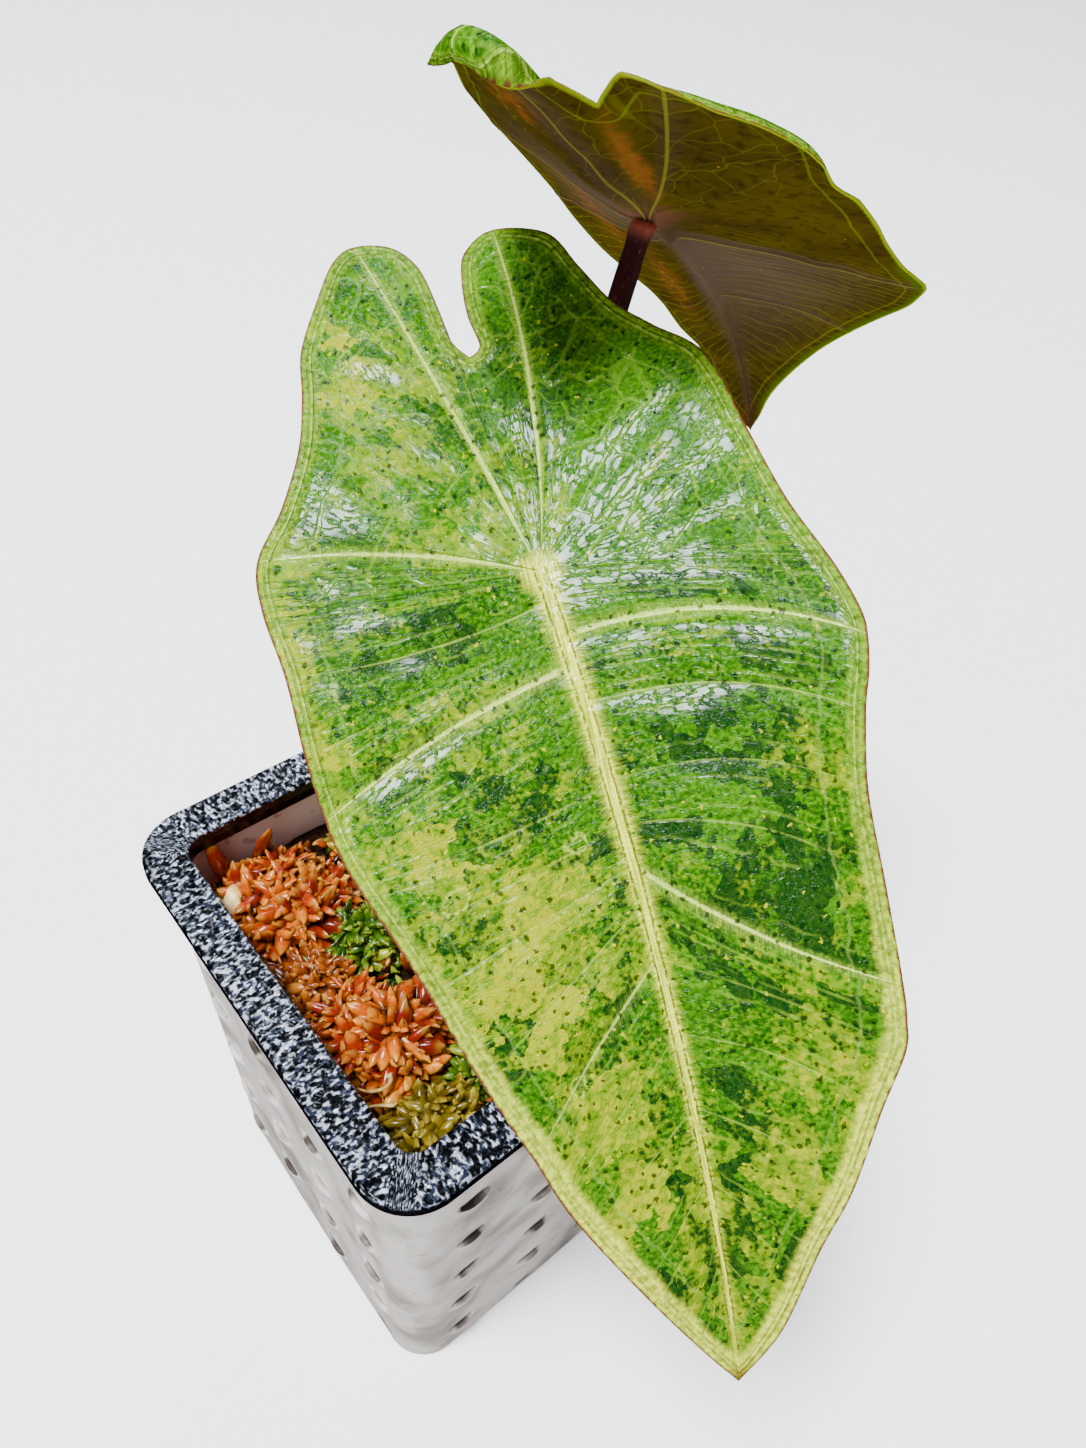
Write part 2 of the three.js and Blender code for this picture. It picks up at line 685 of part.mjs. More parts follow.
// A leaflet or scale: a pointed lozenge with a keeled back, eight triangles in all.
function leaflet(length, width, thick, lift) {
  const points = [
    new THREE.Vector3(0, 0, 0),
    new THREE.Vector3(0.45 * length, -width / 2, 0.3 * lift),
    new THREE.Vector3(0.4 * length, 0, 0.3 * lift + thick / 2 - 0.15 * width),
    new THREE.Vector3(0.45 * length, width / 2, 0.3 * lift),
    new THREE.Vector3(0.4 * length, 0, 0.3 * lift - thick / 2 - 0.15 * width),
    new THREE.Vector3(length, 0, lift),
  ];
  const triangles = [];
  const sides = 4;
  for (let i = 1; i <= sides; i += 1) {
    const next = (i % sides) + 1;
    triangles.push([0, i, next], [sides + 1, next, i]);
  }
  return facets(points, triangles);
}

// Set a leaflet's root at a point, its length along one direction, its back towards up.
function setLeaflet(geometry, root, length, up) {
  const x = length.clone().normalize();
  const y = new THREE.Vector3().crossVectors(up, x).normalize();
  const z = new THREE.Vector3().crossVectors(x, y);
  geometry.applyMatrix4(new THREE.Matrix4().makeBasis(x, y, z).setPosition(root));
  return solid(geometry);
}

// Stem: the short ringed corm that carries the leaves, standing in the substrate's hole,
// with a few dry sheath scales round its top and a plain socket for each petiole.
const STEM_RINGS = 5;

function stem() {
  const bottom = SUBSTRATE_TOP - HOLE_DEPTH + GAP;
  const profile = [new THREE.Vector2(0, bottom), new THREE.Vector2(0.55 * STEM_RADIUS, bottom)];
  const low = bottom + 4;
  for (let i = 0; i < STEM_RINGS; i += 1) {
    const z = low + ((STEM_TOP - 2 - low) * i) / STEM_RINGS;
    const pitch = (STEM_TOP - 2 - low) / STEM_RINGS;
    profile.push(new THREE.Vector2(0.93 * STEM_RADIUS, z));
    profile.push(new THREE.Vector2(STEM_RADIUS, z + 0.7 * pitch));
  }
  profile.push(new THREE.Vector2(0.86 * STEM_RADIUS, STEM_TOP), new THREE.Vector2(0, STEM_TOP + 0.4));
  const lathe = new THREE.LatheGeometry(profile, 16);
  lathe.rotateX(Math.PI / 2);
  lathe.translate(STEM_CENTRE.x, STEM_CENTRE.y, 0);
  let body = solid(lathe);
  for (const angle of [20, 95, 170, 245, 320]) {
    const way = new THREE.Vector3(Math.cos(rad(angle)), Math.sin(rad(angle)), 0);
    const root = new THREE.Vector3(STEM_CENTRE.x, STEM_CENTRE.y, STEM_TOP - 6)
      .addScaledVector(way, 0.8 * STEM_RADIUS);
    const rise = way.clone().multiplyScalar(0.25).setZ(1);
    body = body.add(setLeaflet(leaflet(13, 5, 1.4, 0.6), root, rise, way));
  }
  body = body.subtract(stalk(FRONT_STALK, GAP)).subtract(stalk(BACK_STALK, GAP));
  return biggest(body);
}

add('stem', shape(stem()), material(0x5b4632, 0.8));

// Living moss heads. Each is a low dome crowded with pointed leaflets, confined to its own
// cell between its neighbours, the wall and the stem.
const HEADS = [
  { name: 'moss_orange_left', color: 0xb8531f, x: -24.5, y: 25.5, radius: 14.5, high: 11, seed: 3 },
  { name: 'moss_orange_front', color: 0xb8531f, x: -26, y: -12, radius: 13, high: 12, seed: 5 },
  { name: 'moss_green_left', color: 0x4c6a1f, x: -16.5, y: 8, radius: 8, high: 7, seed: 7 },
  { name: 'moss_brown_left', color: 0x4a3018, x: -31, y: 5, radius: 9.5, high: 6, seed: 8 },
  { name: 'moss_olive_front', color: 0x7a6a24, x: -27, y: -31, radius: 9.5, high: 8, seed: 9 },
  { name: 'moss_green_front', color: 0x4c6a1f, x: -13, y: -27, radius: 8, high: 8, seed: 13 },
  { name: 'moss_orange_right', color: 0xb8531f, x: 6, y: -26, radius: 12, high: 10, seed: 17 },
  { name: 'moss_olive_right', color: 0x7a6a24, x: 28, y: -25, radius: 11, high: 9, seed: 19 },
  { name: 'moss_orange_back', color: 0xb8531f, x: 25, y: 3, radius: 14, high: 11, seed: 23 },
  { name: 'moss_green_back', color: 0x4c6a1f, x: 27, y: 28, radius: 11, high: 9, seed: 29 },
  { name: 'moss_olive_back', color: 0x7a6a24, x: 1, y: 27, radius: 12, high: 10, seed: 31 },
];
const HEAD_FLOOR = SUBSTRATE_TOP + GAP;
const LEAFLETS_PER_RADIUS = 1.85;
const CORE = 0.72;
const ROOT = 0.52;
const GOLDEN_ANGLE = Math.PI * (3 - Math.sqrt(5));

function mossHead(head) {
  const random = seeded(head.seed);
  const dome = new THREE.SphereGeometry(1, 9, 6);
  dome.rotateX(Math.PI / 2);
  dome.scale(CORE * head.radius, CORE * head.radius, CORE * head.high);
  dome.translate(head.x, head.y, HEAD_FLOOR);
  let body = solid(dome);
  const leaflets = Math.round(LEAFLETS_PER_RADIUS * head.radius);
  for (let i = 0; i < leaflets; i += 1) {
    const lean = Math.acos(1 - (0.95 * (i + 0.5)) / leaflets);
    const turn = GOLDEN_ANGLE * i + random(-0.2, 0.2);
    const way = new THREE.Vector3(Math.cos(turn), Math.sin(turn), 0);
    const root = new THREE.Vector3(head.x, head.y, HEAD_FLOOR)
      .addScaledVector(way, ROOT * head.radius * Math.sin(lean));
    root.z += ROOT * head.high * Math.cos(lean);
    const length = way.clone().multiplyScalar(Math.sin(lean) + random(0.05, 0.35));
    length.z = 0.5 + 0.6 * Math.cos(lean);
    const size = head.radius * random(0.5, 0.64);
    body = body.add(setLeaflet(leaflet(size, 0.36 * head.radius, 1.8, -0.12 * size),
      root, length, new THREE.Vector3(0, 0, 1)));
  }
  const far = 60;
  const floorCut = new THREE.Vector3(head.x, head.y, HEAD_FLOOR - far / 2);
  body = body.subtract(box(far, far, far, floorCut));
  for (const other of HEADS.filter((o) => o !== head)) {
    const apart = new THREE.Vector2(other.x - head.x, other.y - head.y);
    const distance = apart.length();
    const share = (distance ** 2 + head.radius ** 2 - other.radius ** 2) / (2 * distance);
    if (share < head.radius * 1.3) {
      const beyond = new THREE.BoxGeometry(far, far, far);
      beyond.translate(share - GAP / 2 + far / 2, 0, HEAD_FLOOR);
      beyond.rotateZ(apart.angle());
      beyond.translate(head.x, head.y, 0);
      body = body.subtract(solid(beyond));
    }
  }
  const pit = new THREE.CylinderGeometry(STEM_RADIUS + 1.6, STEM_RADIUS + 1.6, far, 14);
  pit.rotateX(Math.PI / 2);
  pit.translate(STEM_CENTRE.x, STEM_CENTRE.y, SUBSTRATE_TOP);
  body = body.subtract(solid(pit));
  const inside = COLLAR_SIDE / 2 - COLLAR_FACE - GAP;
  const room = solid(loft([
    ring(inside, 3.5, SUBSTRATE_TOP - 5), ring(inside, 3.5, SUBSTRATE_TOP + far)]));
  return biggest(body.intersect(room));
}

for (const head of HEADS) {
  add(head.name, shape(mossHead(head)), material(head.color, 0.45));
}

export default group;
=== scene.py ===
import bmesh
import bpy
import numpy as np
from mathutils import Matrix


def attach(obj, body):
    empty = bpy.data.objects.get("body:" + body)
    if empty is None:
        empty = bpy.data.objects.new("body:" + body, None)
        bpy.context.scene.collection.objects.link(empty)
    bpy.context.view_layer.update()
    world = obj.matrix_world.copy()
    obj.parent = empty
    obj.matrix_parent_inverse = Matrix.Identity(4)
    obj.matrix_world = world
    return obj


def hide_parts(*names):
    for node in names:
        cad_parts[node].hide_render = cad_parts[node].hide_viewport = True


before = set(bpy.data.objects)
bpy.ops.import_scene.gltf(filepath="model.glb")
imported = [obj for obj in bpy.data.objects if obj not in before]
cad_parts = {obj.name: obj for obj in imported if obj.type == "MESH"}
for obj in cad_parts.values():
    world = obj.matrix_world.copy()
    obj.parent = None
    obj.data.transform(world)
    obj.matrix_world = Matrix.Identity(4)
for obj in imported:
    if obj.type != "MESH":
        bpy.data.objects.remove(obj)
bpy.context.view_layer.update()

# ---- Camera and studio -------------------------------------------------------------
# A phone held about a hand's length before and above the pot, looking down on its front
# corner. The lens is a phone's wide one, so near things look large.

MM = 0.001
EYE = (-70.62, -91.86, 268.32)
YAW, PITCH, ROLL = np.radians((-43.6, 45.14, 5.84))
LENS_PIXELS = 1046
FRAME_HEIGHT = 1448
SENSOR = 36

turn = np.array([[np.cos(YAW), np.sin(YAW), 0], [-np.sin(YAW), np.cos(YAW), 0], [0, 0, 1]])
tip = np.array([[1, 0, 0], [0, -np.sin(PITCH), -np.cos(PITCH)],
                [0, np.cos(PITCH), -np.sin(PITCH)]])
cant = np.array([[np.cos(ROLL), -np.sin(ROLL), 0], [np.sin(ROLL), np.cos(ROLL), 0], [0, 0, 1]])
right, down, ahead = cant @ tip @ turn

camera_data = bpy.data.cameras.new("phone")
camera_data.sensor_width = SENSOR
camera_data.lens = SENSOR * LENS_PIXELS / FRAME_HEIGHT
camera_data.clip_start = 0.005
camera = bpy.data.objects.new("phone", camera_data)
bpy.context.collection.objects.link(camera)
pose = np.eye(4)
pose[:3, 0], pose[:3, 1], pose[:3, 2] = right, -down, -ahead
pose[:3, 3] = np.array(EYE) * MM
camera.matrix_world = Matrix(pose.tolist())
bpy.context.scene.camera = camera


def linear(red, green, blue):
    """A colour given by its 0 to 255 screen values, as the linear values a shader takes."""
    screen = np.array((red, green, blue)) / 255
    low = screen / 12.92
    high = ((screen + 0.055) / 1.055) ** 2.4
    return (*np.where(screen < 0.04045, low, high).tolist(), 1.0)


class Value:
    """A socket in a material. Its operators add Math nodes, and node() adds any other."""

    def __init__(self, tree, socket=None):
        self.tree = tree
        self.socket = socket

    def node(self, kind, settings, inputs, output=0):
        """Adds a node: its settings first, then the values or links of its sockets."""
        made = self.tree.nodes.new(kind)
        for name, setting in settings.items():
            if name == "stops":
                ramp = made.color_ramp.elements
                while len(ramp) < len(setting):
                    ramp.new(1)
                for stop, (place, color) in zip(ramp, setting):
                    stop.position = place
                    stop.color = color
            else:
                setattr(made, name, setting)
        for name, value in inputs.items():
            if isinstance(value, Value):
                self.tree.links.new(value.socket, made.inputs[name])
            else:
                made.inputs[name].default_value = value
        return Value(self.tree, made.outputs[output])

    def math(self, operation, *values):
        return self.node("ShaderNodeMath", {"operation": operation}, dict(enumerate(values)))

    def __add__(self, other):
        return self.math("ADD", self, other)

    def __sub__(self, other):
        return self.math("SUBTRACT", self, other)

    def __rsub__(self, other):
        return self.math("SUBTRACT", other, self)

    def __mul__(self, other):
        return self.math("MULTIPLY", self, other)

    def __truediv__(self, other):
        return self.math("DIVIDE", self, other)

    def __abs__(self):
        return self.math("ABSOLUTE", self)

    __radd__ = __add__
    __rmul__ = __mul__

    def step(self, low, high):
        """0 below low, 1 above high, and a smooth rise between. low above high falls."""
        return self.node("ShaderNodeMapRange", {"interpolation_type": "SMOOTHSTEP"}, {
            "Value": self, "From Min": low, "From Max": high})

    def choose(self, first, second, blend="MIX"):
        """Colour mix: first where this is 0, second where it is 1."""
        return self.node("ShaderNodeMix", {"data_type": "RGBA", "blend_type": blend},
                         {0: self, 6: first, 7: second}, 2)

    def vector(self, x, y, z=0.0):
        return self.node("ShaderNodeCombineXYZ", {}, {"X": x, "Y": y, "Z": z})

    def noise(self, at, scale, detail=2.0, output=0):
        return self.node("ShaderNodeTexNoise", {}, {
            "Vector": at, "Scale": scale, "Detail": detail}, output)

    def cells(self, at, scale=1.0, feature="F1", output="Distance"):
        return self.node("ShaderNodeTexVoronoi", {"feature": feature}, {
            "Vector": at, "Scale": scale}, output)

    def dots(self, at, scale):
        """Cells of the flat plane: the distance to the nearest, and its random colour."""
        distance = self.node("ShaderNodeTexVoronoi", {"voronoi_dimensions": "2D"}, {
            "Vector": at, "Scale": scale}, "Distance")
        color = Value(self.tree, distance.socket.node.outputs["Color"])
        return distance, color.split()

    def split(self):
        """The three parts of a vector or a colour."""
        first = self.node("ShaderNodeSeparateXYZ", {}, {0: self})
        return [Value(self.tree, socket) for socket in first.socket.node.outputs]

    def place(self):
        """The point's place on the object, in metres."""
        return self.node("ShaderNodeTexCoord", {}, {}, "Object")

    def drawn_out(self, at, stretch):
        """A place multiplied along each axis, so that a pattern on it is drawn out."""
        return self.node("ShaderNodeMapping", {}, {"Vector": at, "Scale": stretch})

    def nudged(self, at, wander, amount):
        """A place moved by a coloured noise times an amount along each axis."""
        return self.node("ShaderNodeVectorMath", {"operation": "MULTIPLY_ADD"}, {
            0: wander, 1: amount, 2: at})

    def map(self, name):
        """The two numbers of a UV map."""
        return self.node("ShaderNodeUVMap", {"uv_map": name}, {}).split()[:2]

    def bump(self, strength, distance, height):
        return self.node("ShaderNodeBump", {}, {
            "Strength": strength, "Distance": distance, "Height": height})


def finish(name, paint):
    """A material. paint gets a Value to build from, and returns the shader's inputs."""
    material = bpy.data.materials.new(name)
    material.use_nodes = True
    tree = material.node_tree
    shader = tree.nodes["Principled BSDF"]
    for socket, value in paint(Value(tree)).items():
        if isinstance(value, Value):
            tree.links.new(value.socket, shader.inputs[socket])
        else:
            shader.inputs[socket].default_value = value
    return material


def surface(name, points, quads, finishes, maps=(), finish_of_quad=None, merge=0.0):
    """A piece from whole arrays: points in mm, corners of each quad, and UV maps that are
    given point by point. Points nearer than merge mm become one, which closes seams."""
    mesh = bpy.data.meshes.new(name)
    mesh.vertices.add(len(points))
    mesh.vertices.foreach_set("co", (points * MM).astype(np.float32).ravel())
    mesh.loops.add(quads.size)
    mesh.loops.foreach_set("vertex_index", quads.astype(np.int32).ravel())
    mesh.polygons.add(len(quads))
    mesh.polygons.foreach_set("loop_start", np.arange(0, quads.size, 4, dtype=np.int32))
    mesh.polygons.foreach_set("use_smooth", np.ones(len(quads), bool))
    if finish_of_quad is not None:
        mesh.polygons.foreach_set("material_index", finish_of_quad.astype(np.int32))
    for map_name, values in dict(maps).items():
        layer = mesh.uv_layers.new(name=map_name)
        layer.data.foreach_set("uv", values[quads.ravel()].astype(np.float32).ravel())
    mesh.update(calc_edges=True)
    if merge:
        work = bmesh.new()
        work.from_mesh(mesh)
        bmesh.ops.remove_doubles(work, verts=work.verts, dist=merge * MM)
        work.to_mesh(mesh)
        work.free()
    for material in finishes:
        mesh.materials.append(material)
    piece = bpy.data.objects.new(name, mesh)
    bpy.context.collection.objects.link(piece)
    return piece


def grid(rows, columns, wrap=False):
    """Corners of the quads of a grid of points numbered row by row. wrap joins the last
    column to the first."""
    row, column = np.meshgrid(np.arange(rows - 1), np.arange(columns - (not wrap)),
                              indexing="ij")
    beside = (column + 1) % columns
    corners = (row * columns + column, row * columns + beside,
               (row + 1) * columns + beside, (row + 1) * columns + column)
    return np.stack([c.ravel() for c in corners], 1)


FLOOR_SIDE = 6000


def paper(v):
    grain = v.noise(v.place(), 900.0, 4.0)
    return {"Base Color": grain.choose(linear(248, 248, 248), linear(255, 255, 255)),
            "Roughness": 0.9}


side = FLOOR_SIDE / 2
floor = surface("floor", np.array([[-side, -side, 0], [side, -side, 0], [side, side, 0],
                                   [-side, side, 0]], float),
                np.array([[0, 1, 2, 3]]), [finish("paper", paper)])
floor.visible_glossy = False


SHEEN_TINT = (0.88, 0.95, 1.0)


def softbox(name, towards, distance, width, height, power, glossy=True, target=(0, 0, 160)):
    """A square studio light that faces the target from a direction, at a distance in mm.
    A glossy one shows in the leaves' gloss and is bluish, as daylight through a window is.
    One that isn't glossy lifts the shade alone."""
    data = bpy.data.lights.new(name, "AREA")
    data.shape = "RECTANGLE"
    data.size, data.size_y = width * MM, height * MM
    data.energy = power
    if glossy:
        data.color = SHEEN_TINT
    lamp = bpy.data.objects.new(name, data)
    lamp.visible_glossy = glossy
    bpy.context.collection.objects.link(lamp)
    away = np.array(towards, float)
    away /= np.linalg.norm(away)
    aside = np.cross((0, 0, 1), away)
    aside /= np.linalg.norm(aside)
    stand = np.eye(4)
    stand[:3, 0], stand[:3, 1], stand[:3, 2] = aside, np.cross(away, aside), away
    stand[:3, 3] = (np.array(target) + away * distance) * MM
    lamp.matrix_world = Matrix(stand.tolist())


softbox("window", (-0.32, 0.05, 0.94), 3000, 860, 900, 96)
softbox("key", (-0.34, -0.01, 0.94), 3000, 700, 820, 208, False)
softbox("sky", (0.48, 0.50, 0.70), 3600, 1200, 1400, 55)
softbox("room", (-0.75, -0.45, 0.75), 3600, 2600, 2600, 60, False)

world = bpy.data.worlds.new("studio")
bpy.context.scene.world = world
world.use_nodes = True
world.node_tree.nodes["Background"].inputs["Color"].default_value = linear(240, 246, 255)
world.node_tree.nodes["Background"].inputs["Strength"].default_value = 0.4
world.cycles_visibility.glossy = False


# ---- Pot body ----------------------------------------------------------------------
# Injection-moulded nursery pot in cloudy warm grey plastic. Air slits run round its four
# walls, each over a scoop that is pressed outwards, and the base has drain slots.

POT_HEIGHT = 110
COLLAR_SIDE = 90
BODY_TOP = 107.9
BODY_TOP_SIDE, BODY_BASE_SIDE = 84, 78
BODY_CORNER = 9
WALL = 1.3
BASE_THICKNESS = 2
FOOT = 1.2
SLIT_COLUMNS = (-27, -9, 9, 27)
SLIT_DROPS = ((22, 41, 60, 79, 98), (31, 50, 69, 88))
SLIT_WIDTH, SLIT_HEIGHT = 6, 1.3
SLIT_COLUMN_PITCH, SLIT_ROW_PITCH, SLIT_ROW_LAG = 18.0, 19.0, 9
LOWEST_SLIT = 12.7
SCOOP_HEIGHT, SCOOP_REACH = 6.5, 1.0
PINNED = 31.5
WALL_SLOPE = 0.0278
WALL_STEP = 1.25
DRAIN_X, DRAIN_Y = (-24, -12, 0, 12, 24), (-20, 20)
DRAIN_HALF_WIDTH, DRAIN_HALF_LENGTH = 2, 11


def body_half(z):
    return (BODY_BASE_SIDE + (BODY_TOP_SIDE - BODY_BASE_SIDE) * z / BODY_TOP) / 2


def lines_with(stops, low, high, pitch):
    """Rising values from low to high that meet every stop, no further apart than pitch."""
    stops = np.unique([low, high, *[s for s in stops if low < s < high]])
    parts = [np.linspace(a, b, max(2, int(np.ceil((b - a) / pitch)) + 1))[:-1]
             for a, b in zip(stops[:-1], stops[1:])]
    return np.append(np.concatenate(parts), high)


def round_square(half, corner, reach):
    """Points round a square with rounded corners. reach is the distance walked from the
    middle of one side, to either hand, and half the corner's arc belongs to each side."""
    straight = half - corner
    angle = np.clip(np.abs(reach) - straight, 0, None) / corner
    x = straight + corner * np.cos(angle)
    y = np.sign(reach) * (np.minimum(np.abs(reach), straight) + corner * np.sin(angle))
    return x, y


slit_places = [(across, POT_HEIGHT - drop) for k, across in enumerate(SLIT_COLUMNS)
               for drop in SLIT_DROPS[k % 2]]
half_walk = body_half(BODY_TOP) - BODY_CORNER + BODY_CORNER * np.pi / 4
walk = lines_with([a + e * SLIT_WIDTH / 2 for a in SLIT_COLUMNS for e in (-1, 1)],
                  -half_walk, half_walk, WALL_STEP)[:-1]
levels = lines_with([z + e for _, z in slit_places for e in (0, SLIT_HEIGHT)],
                    FOOT, BODY_TOP, WALL_STEP)


def pot_wall():
    """One wall is a grid of walk (round the pot) by level. Past PINNED, which is outside
    the outer slits, the walk is shrunk to end in the middle of the corner. The scoops are
    half domes below each slit: a power of one minus the squared distance from its edge."""
    level, reach = np.meshgrid(levels, walk, indexing="ij")
    half = body_half(level)
    full = half - BODY_CORNER + BODY_CORNER * np.pi / 4
    past = np.clip(np.abs(reach) - PINNED, 0, None) * (full - PINNED) / (half_walk - PINNED)
    reach = np.sign(reach) * (np.minimum(np.abs(reach), PINNED) + past)
    bulge = np.zeros_like(level)
    for across, z in slit_places:
        inside = (1 - ((reach - across) / (SLIT_WIDTH / 2 + 0.6)) ** 2
                  - ((z - level) / SCOOP_HEIGHT) ** 2)
        below = level <= z + 1e-6
        bulge = np.maximum(bulge, np.where(below, np.clip(inside, 0, 1) ** 0.8, 0))
    x, y = round_square(half, BODY_CORNER, reach)
    x = x + SCOOP_REACH * bulge
    # a moulded wall is never quite flat
    x = x + 0.35 * np.cos(reach / 16) * np.sin(level / 23 + 0.6) * (np.abs(reach) < 30)
    return x, y, level


def four_sides(x, y, z):
    """The points of one side, and the same turned by one, two and three quarters."""
    return [np.stack([c * x - s * y, s * x + c * y, z], -1)
            for c, s in ((1, 0), (0, 1), (-1, 0), (0, -1))]


wall_points = np.concatenate(four_sides(*pot_wall()), 1)
foot_ring = wall_points[:1].copy()
shrink = (body_half(0) - FOOT) / body_half(0)
foot_ring[..., :2] *= shrink
foot_ring[..., 2] = 0
wall_points = np.concatenate([foot_ring, wall_points])
wall_rows, wall_columns = wall_points.shape[:2]
wall_quads = grid(wall_rows, wall_columns, wrap=True)
middle = wall_points.reshape(-1, 3)[wall_quads].mean(1)
mid_x, mid_y = middle[:, 0], middle[:, 1]
local = np.where(np.abs(mid_x) > np.abs(mid_y), mid_y * np.sign(mid_x), -mid_x * np.sign(mid_y))
open_slit = np.zeros(len(wall_quads), bool)
for across, z in slit_places:
    open_slit |= ((np.abs(local - across) < SLIT_WIDTH / 2)
                  & (middle[:, 2] > z) & (middle[:, 2] < z + SLIT_HEIGHT))


def pot_base():
    """The floor of the pot: a grid whose outer corners are drawn in to the round corner,
    without the quads of the drain slots."""
    half, corner = body_half(0) - FOOT, BODY_CORNER - FOOT
    xs = lines_with([a + e * DRAIN_HALF_WIDTH for a in DRAIN_X for e in (-1, 1)], -half, half, 3)
    ys = lines_with([a + e * DRAIN_HALF_LENGTH for a in DRAIN_Y for e in (-1, 1)], -half, half, 3)
    px, py = np.meshgrid(xs, ys)
    from_x = np.clip(np.abs(px) - (half - corner), 0, None)
    from_y = np.clip(np.abs(py) - (half - corner), 0, None)
    away = np.hypot(from_x, from_y)
    pull = np.where(away > corner, corner / np.maximum(away, 1e-9), 1)
    px = np.sign(px) * (np.minimum(np.abs(px), half - corner) + from_x * pull)
    py = np.sign(py) * (np.minimum(np.abs(py), half - corner) + from_y * pull)
    points = np.stack([px, py, np.zeros_like(px)], -1).reshape(-1, 3)
    quads = grid(len(ys), len(xs))[:, ::-1]
    centre = points[quads].mean(1)
    slot = np.zeros(len(quads), bool)
    for a in DRAIN_X:
        for b in DRAIN_Y:
            slot |= ((np.abs(centre[:, 0] - a) < DRAIN_HALF_WIDTH)
                     & (np.abs(centre[:, 1] - b) < DRAIN_HALF_LENGTH))
    return points, quads[~slot]


INSIDE_CORNER = 30
LINING_FROM, LINING_TO = 8.8, 8.3
# below these heights the inside is painted dark brown, as painted shade in the slits' cheeks
SHADED_FROM, SHADED_TO = 91, 88


def cloudy_plastic(v):
    """Cloudy grey outside, and a pinkish lining with brown specks inside. The lining is
    painted lighter than the outside, as painted light that stands in for light through the
    plastic, and dark brown below the substrate's top, as painted shade in the slits. It is
    found by the distance past a square that stands INSIDE_CORNER mm from the axis."""
    at = v.place()
    cloud = v.noise(at, 90.0, 8.0)
    smear = v.noise(v.drawn_out(at, (1.0, 1.0, 0.35)), 95.0, 3.0)
    color = cloud.step(0.42, 0.70).choose(linear(206, 198, 191), linear(154, 145, 137))
    color = (smear.step(0.50, 0.75) * 0.4).choose(color, linear(110, 102, 97))
    dust = v.noise(at, 420.0, 2.0).step(0.70, 0.76)
    color = (dust * 0.45).choose(color, linear(70, 52, 40))
    x, y, z = at.split()
    past_x, past_y = (v.math("MAXIMUM", abs(way) - z * WALL_SLOPE - INSIDE_CORNER * MM, 0.0)
                      for way in (x, y))
    out = v.math("SQRT", past_x * past_x + past_y * past_y)
    speck = v.noise(at, 260.0, 3.0).step(0.62, 0.70)
    # the pale pinkish lining is painted light, lighter than the outside, standing in for light
    # that shines through the plastic; the brown specks are stains
    lining = (speck * 0.5).choose(linear(236, 218, 210), linear(150, 96, 60))
    # below the substrate's top the lining is painted dark brown: painted shade in the slits'
    # cheeks
    lining = z.step(SHADED_FROM * MM, SHADED_TO * MM).choose(lining, linear(26, 18, 12))
    # painted shade in and just over each slit, dark brown, so that it reads as a dark opening:
    # the columns and rows of the slits are counted, and every other column is SLIT_ROW_LAG lower
    wide = (abs(x) - abs(y)).step(-0.001, 0.001)
    walked = wide * y * v.math("SIGN", x) - (1 - wide) * x * v.math("SIGN", y)
    column = walked / (SLIT_COLUMN_PITCH * MM) + (len(SLIT_COLUMNS) - 1) / 2
    odd = v.math("PINGPONG", v.math("ROUND", column), 1.0)
    row = (z + odd * (SLIT_ROW_LAG * MM) - LOWEST_SLIT * MM) / (SLIT_ROW_PITCH * MM)
    along = abs(column - v.math("ROUND", column)) * SLIT_COLUMN_PITCH + (cloud - 0.5) * 9.0
    off = (row - v.math("ROUND", row)) * SLIT_ROW_PITCH + (smear - 0.5) * 2.0
    slit_shade = along.step(3.0, 1.6) * off.step(-1.1, -0.5) * off.step(1.5, 0.6)
    color = (slit_shade * 0.95).choose(color, linear(38, 28, 20))
    color = out.step(LINING_FROM * MM, LINING_TO * MM).choose(color, lining)
    ripple = v.noise(at, 120.0, 2.0)
    return {"Base Color": color, "Roughness": 0.22 + 0.2 * cloud,
            "Normal": v.bump(0.35, 0.0008, ripple + cloud * 0.5), "Coat Weight": 0.25,
            "Subsurface Weight": 0.08, "Subsurface Scale": 0.003}


base_points, base_quads = pot_base()
pot_points = np.concatenate([wall_points.reshape(-1, 3), base_points])
pot_quads = np.concatenate([wall_quads[~open_slit], base_quads + wall_points.size // 3])
plastic = finish("cloudy_plastic", cloudy_plastic)
pot = surface("pot_shell", pot_points, pot_quads, [plastic], merge=0.02)
thick = pot.modifiers.new("wall", "SOLIDIFY")
thick.thickness = WALL * MM
thick.offset = -1
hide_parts("pot_body")
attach(pot, "root")


# ---- Pot rim -----------------------------------------------------------------------
# A snap-on collar of navy-black plastic. Its flat face is hammered all over with small
# pits and ridges that catch the light, with painted shade in the pits and painted glints on
# the ridges, and its skirt and inner lip are plain and glossy.

COLLAR_FACE = 8
COLLAR_CORNER = 10.5
INNER_CORNER = 3.5
SKIRT_DEPTH, LIP_DEPTH, LIP_WALL = 3.5, 4.5, 1.3
EDGE_ROUND = 0.7
STRAIGHT_SHARE = 0.76
PIT_DEPTH = 0.34
PIT_PITCH = 1.45


def bumps(x, y, pitch, seed):
    """A hammered face: each cell of a square grid holds one point, moved at random. Gives
    the distances to the nearest point and to the second."""
    across, along = x / pitch, y / pitch
    cx, cy = np.floor(across), np.floor(along)
    near = np.full(x.shape, 9.0)
    second = np.full(x.shape, 9.0)
    for dx in (-1, 0, 1):
        for dy in (-1, 0, 1):
            gx, gy = cx + dx, cy + dy
            mix = np.sin(gx * 127.1 + gy * 311.7 + seed) * 43758.5453
            mix2 = np.sin(gx * 269.5 + gy * 183.3 + seed * 1.7) * 43758.5453
            away = np.hypot(gx + mix - np.floor(mix) - across,
                            gy + mix2 - np.floor(mix2) - along)
            second = np.minimum(second, np.maximum(near, away))
            near = np.minimum(near, away)
    return near, second


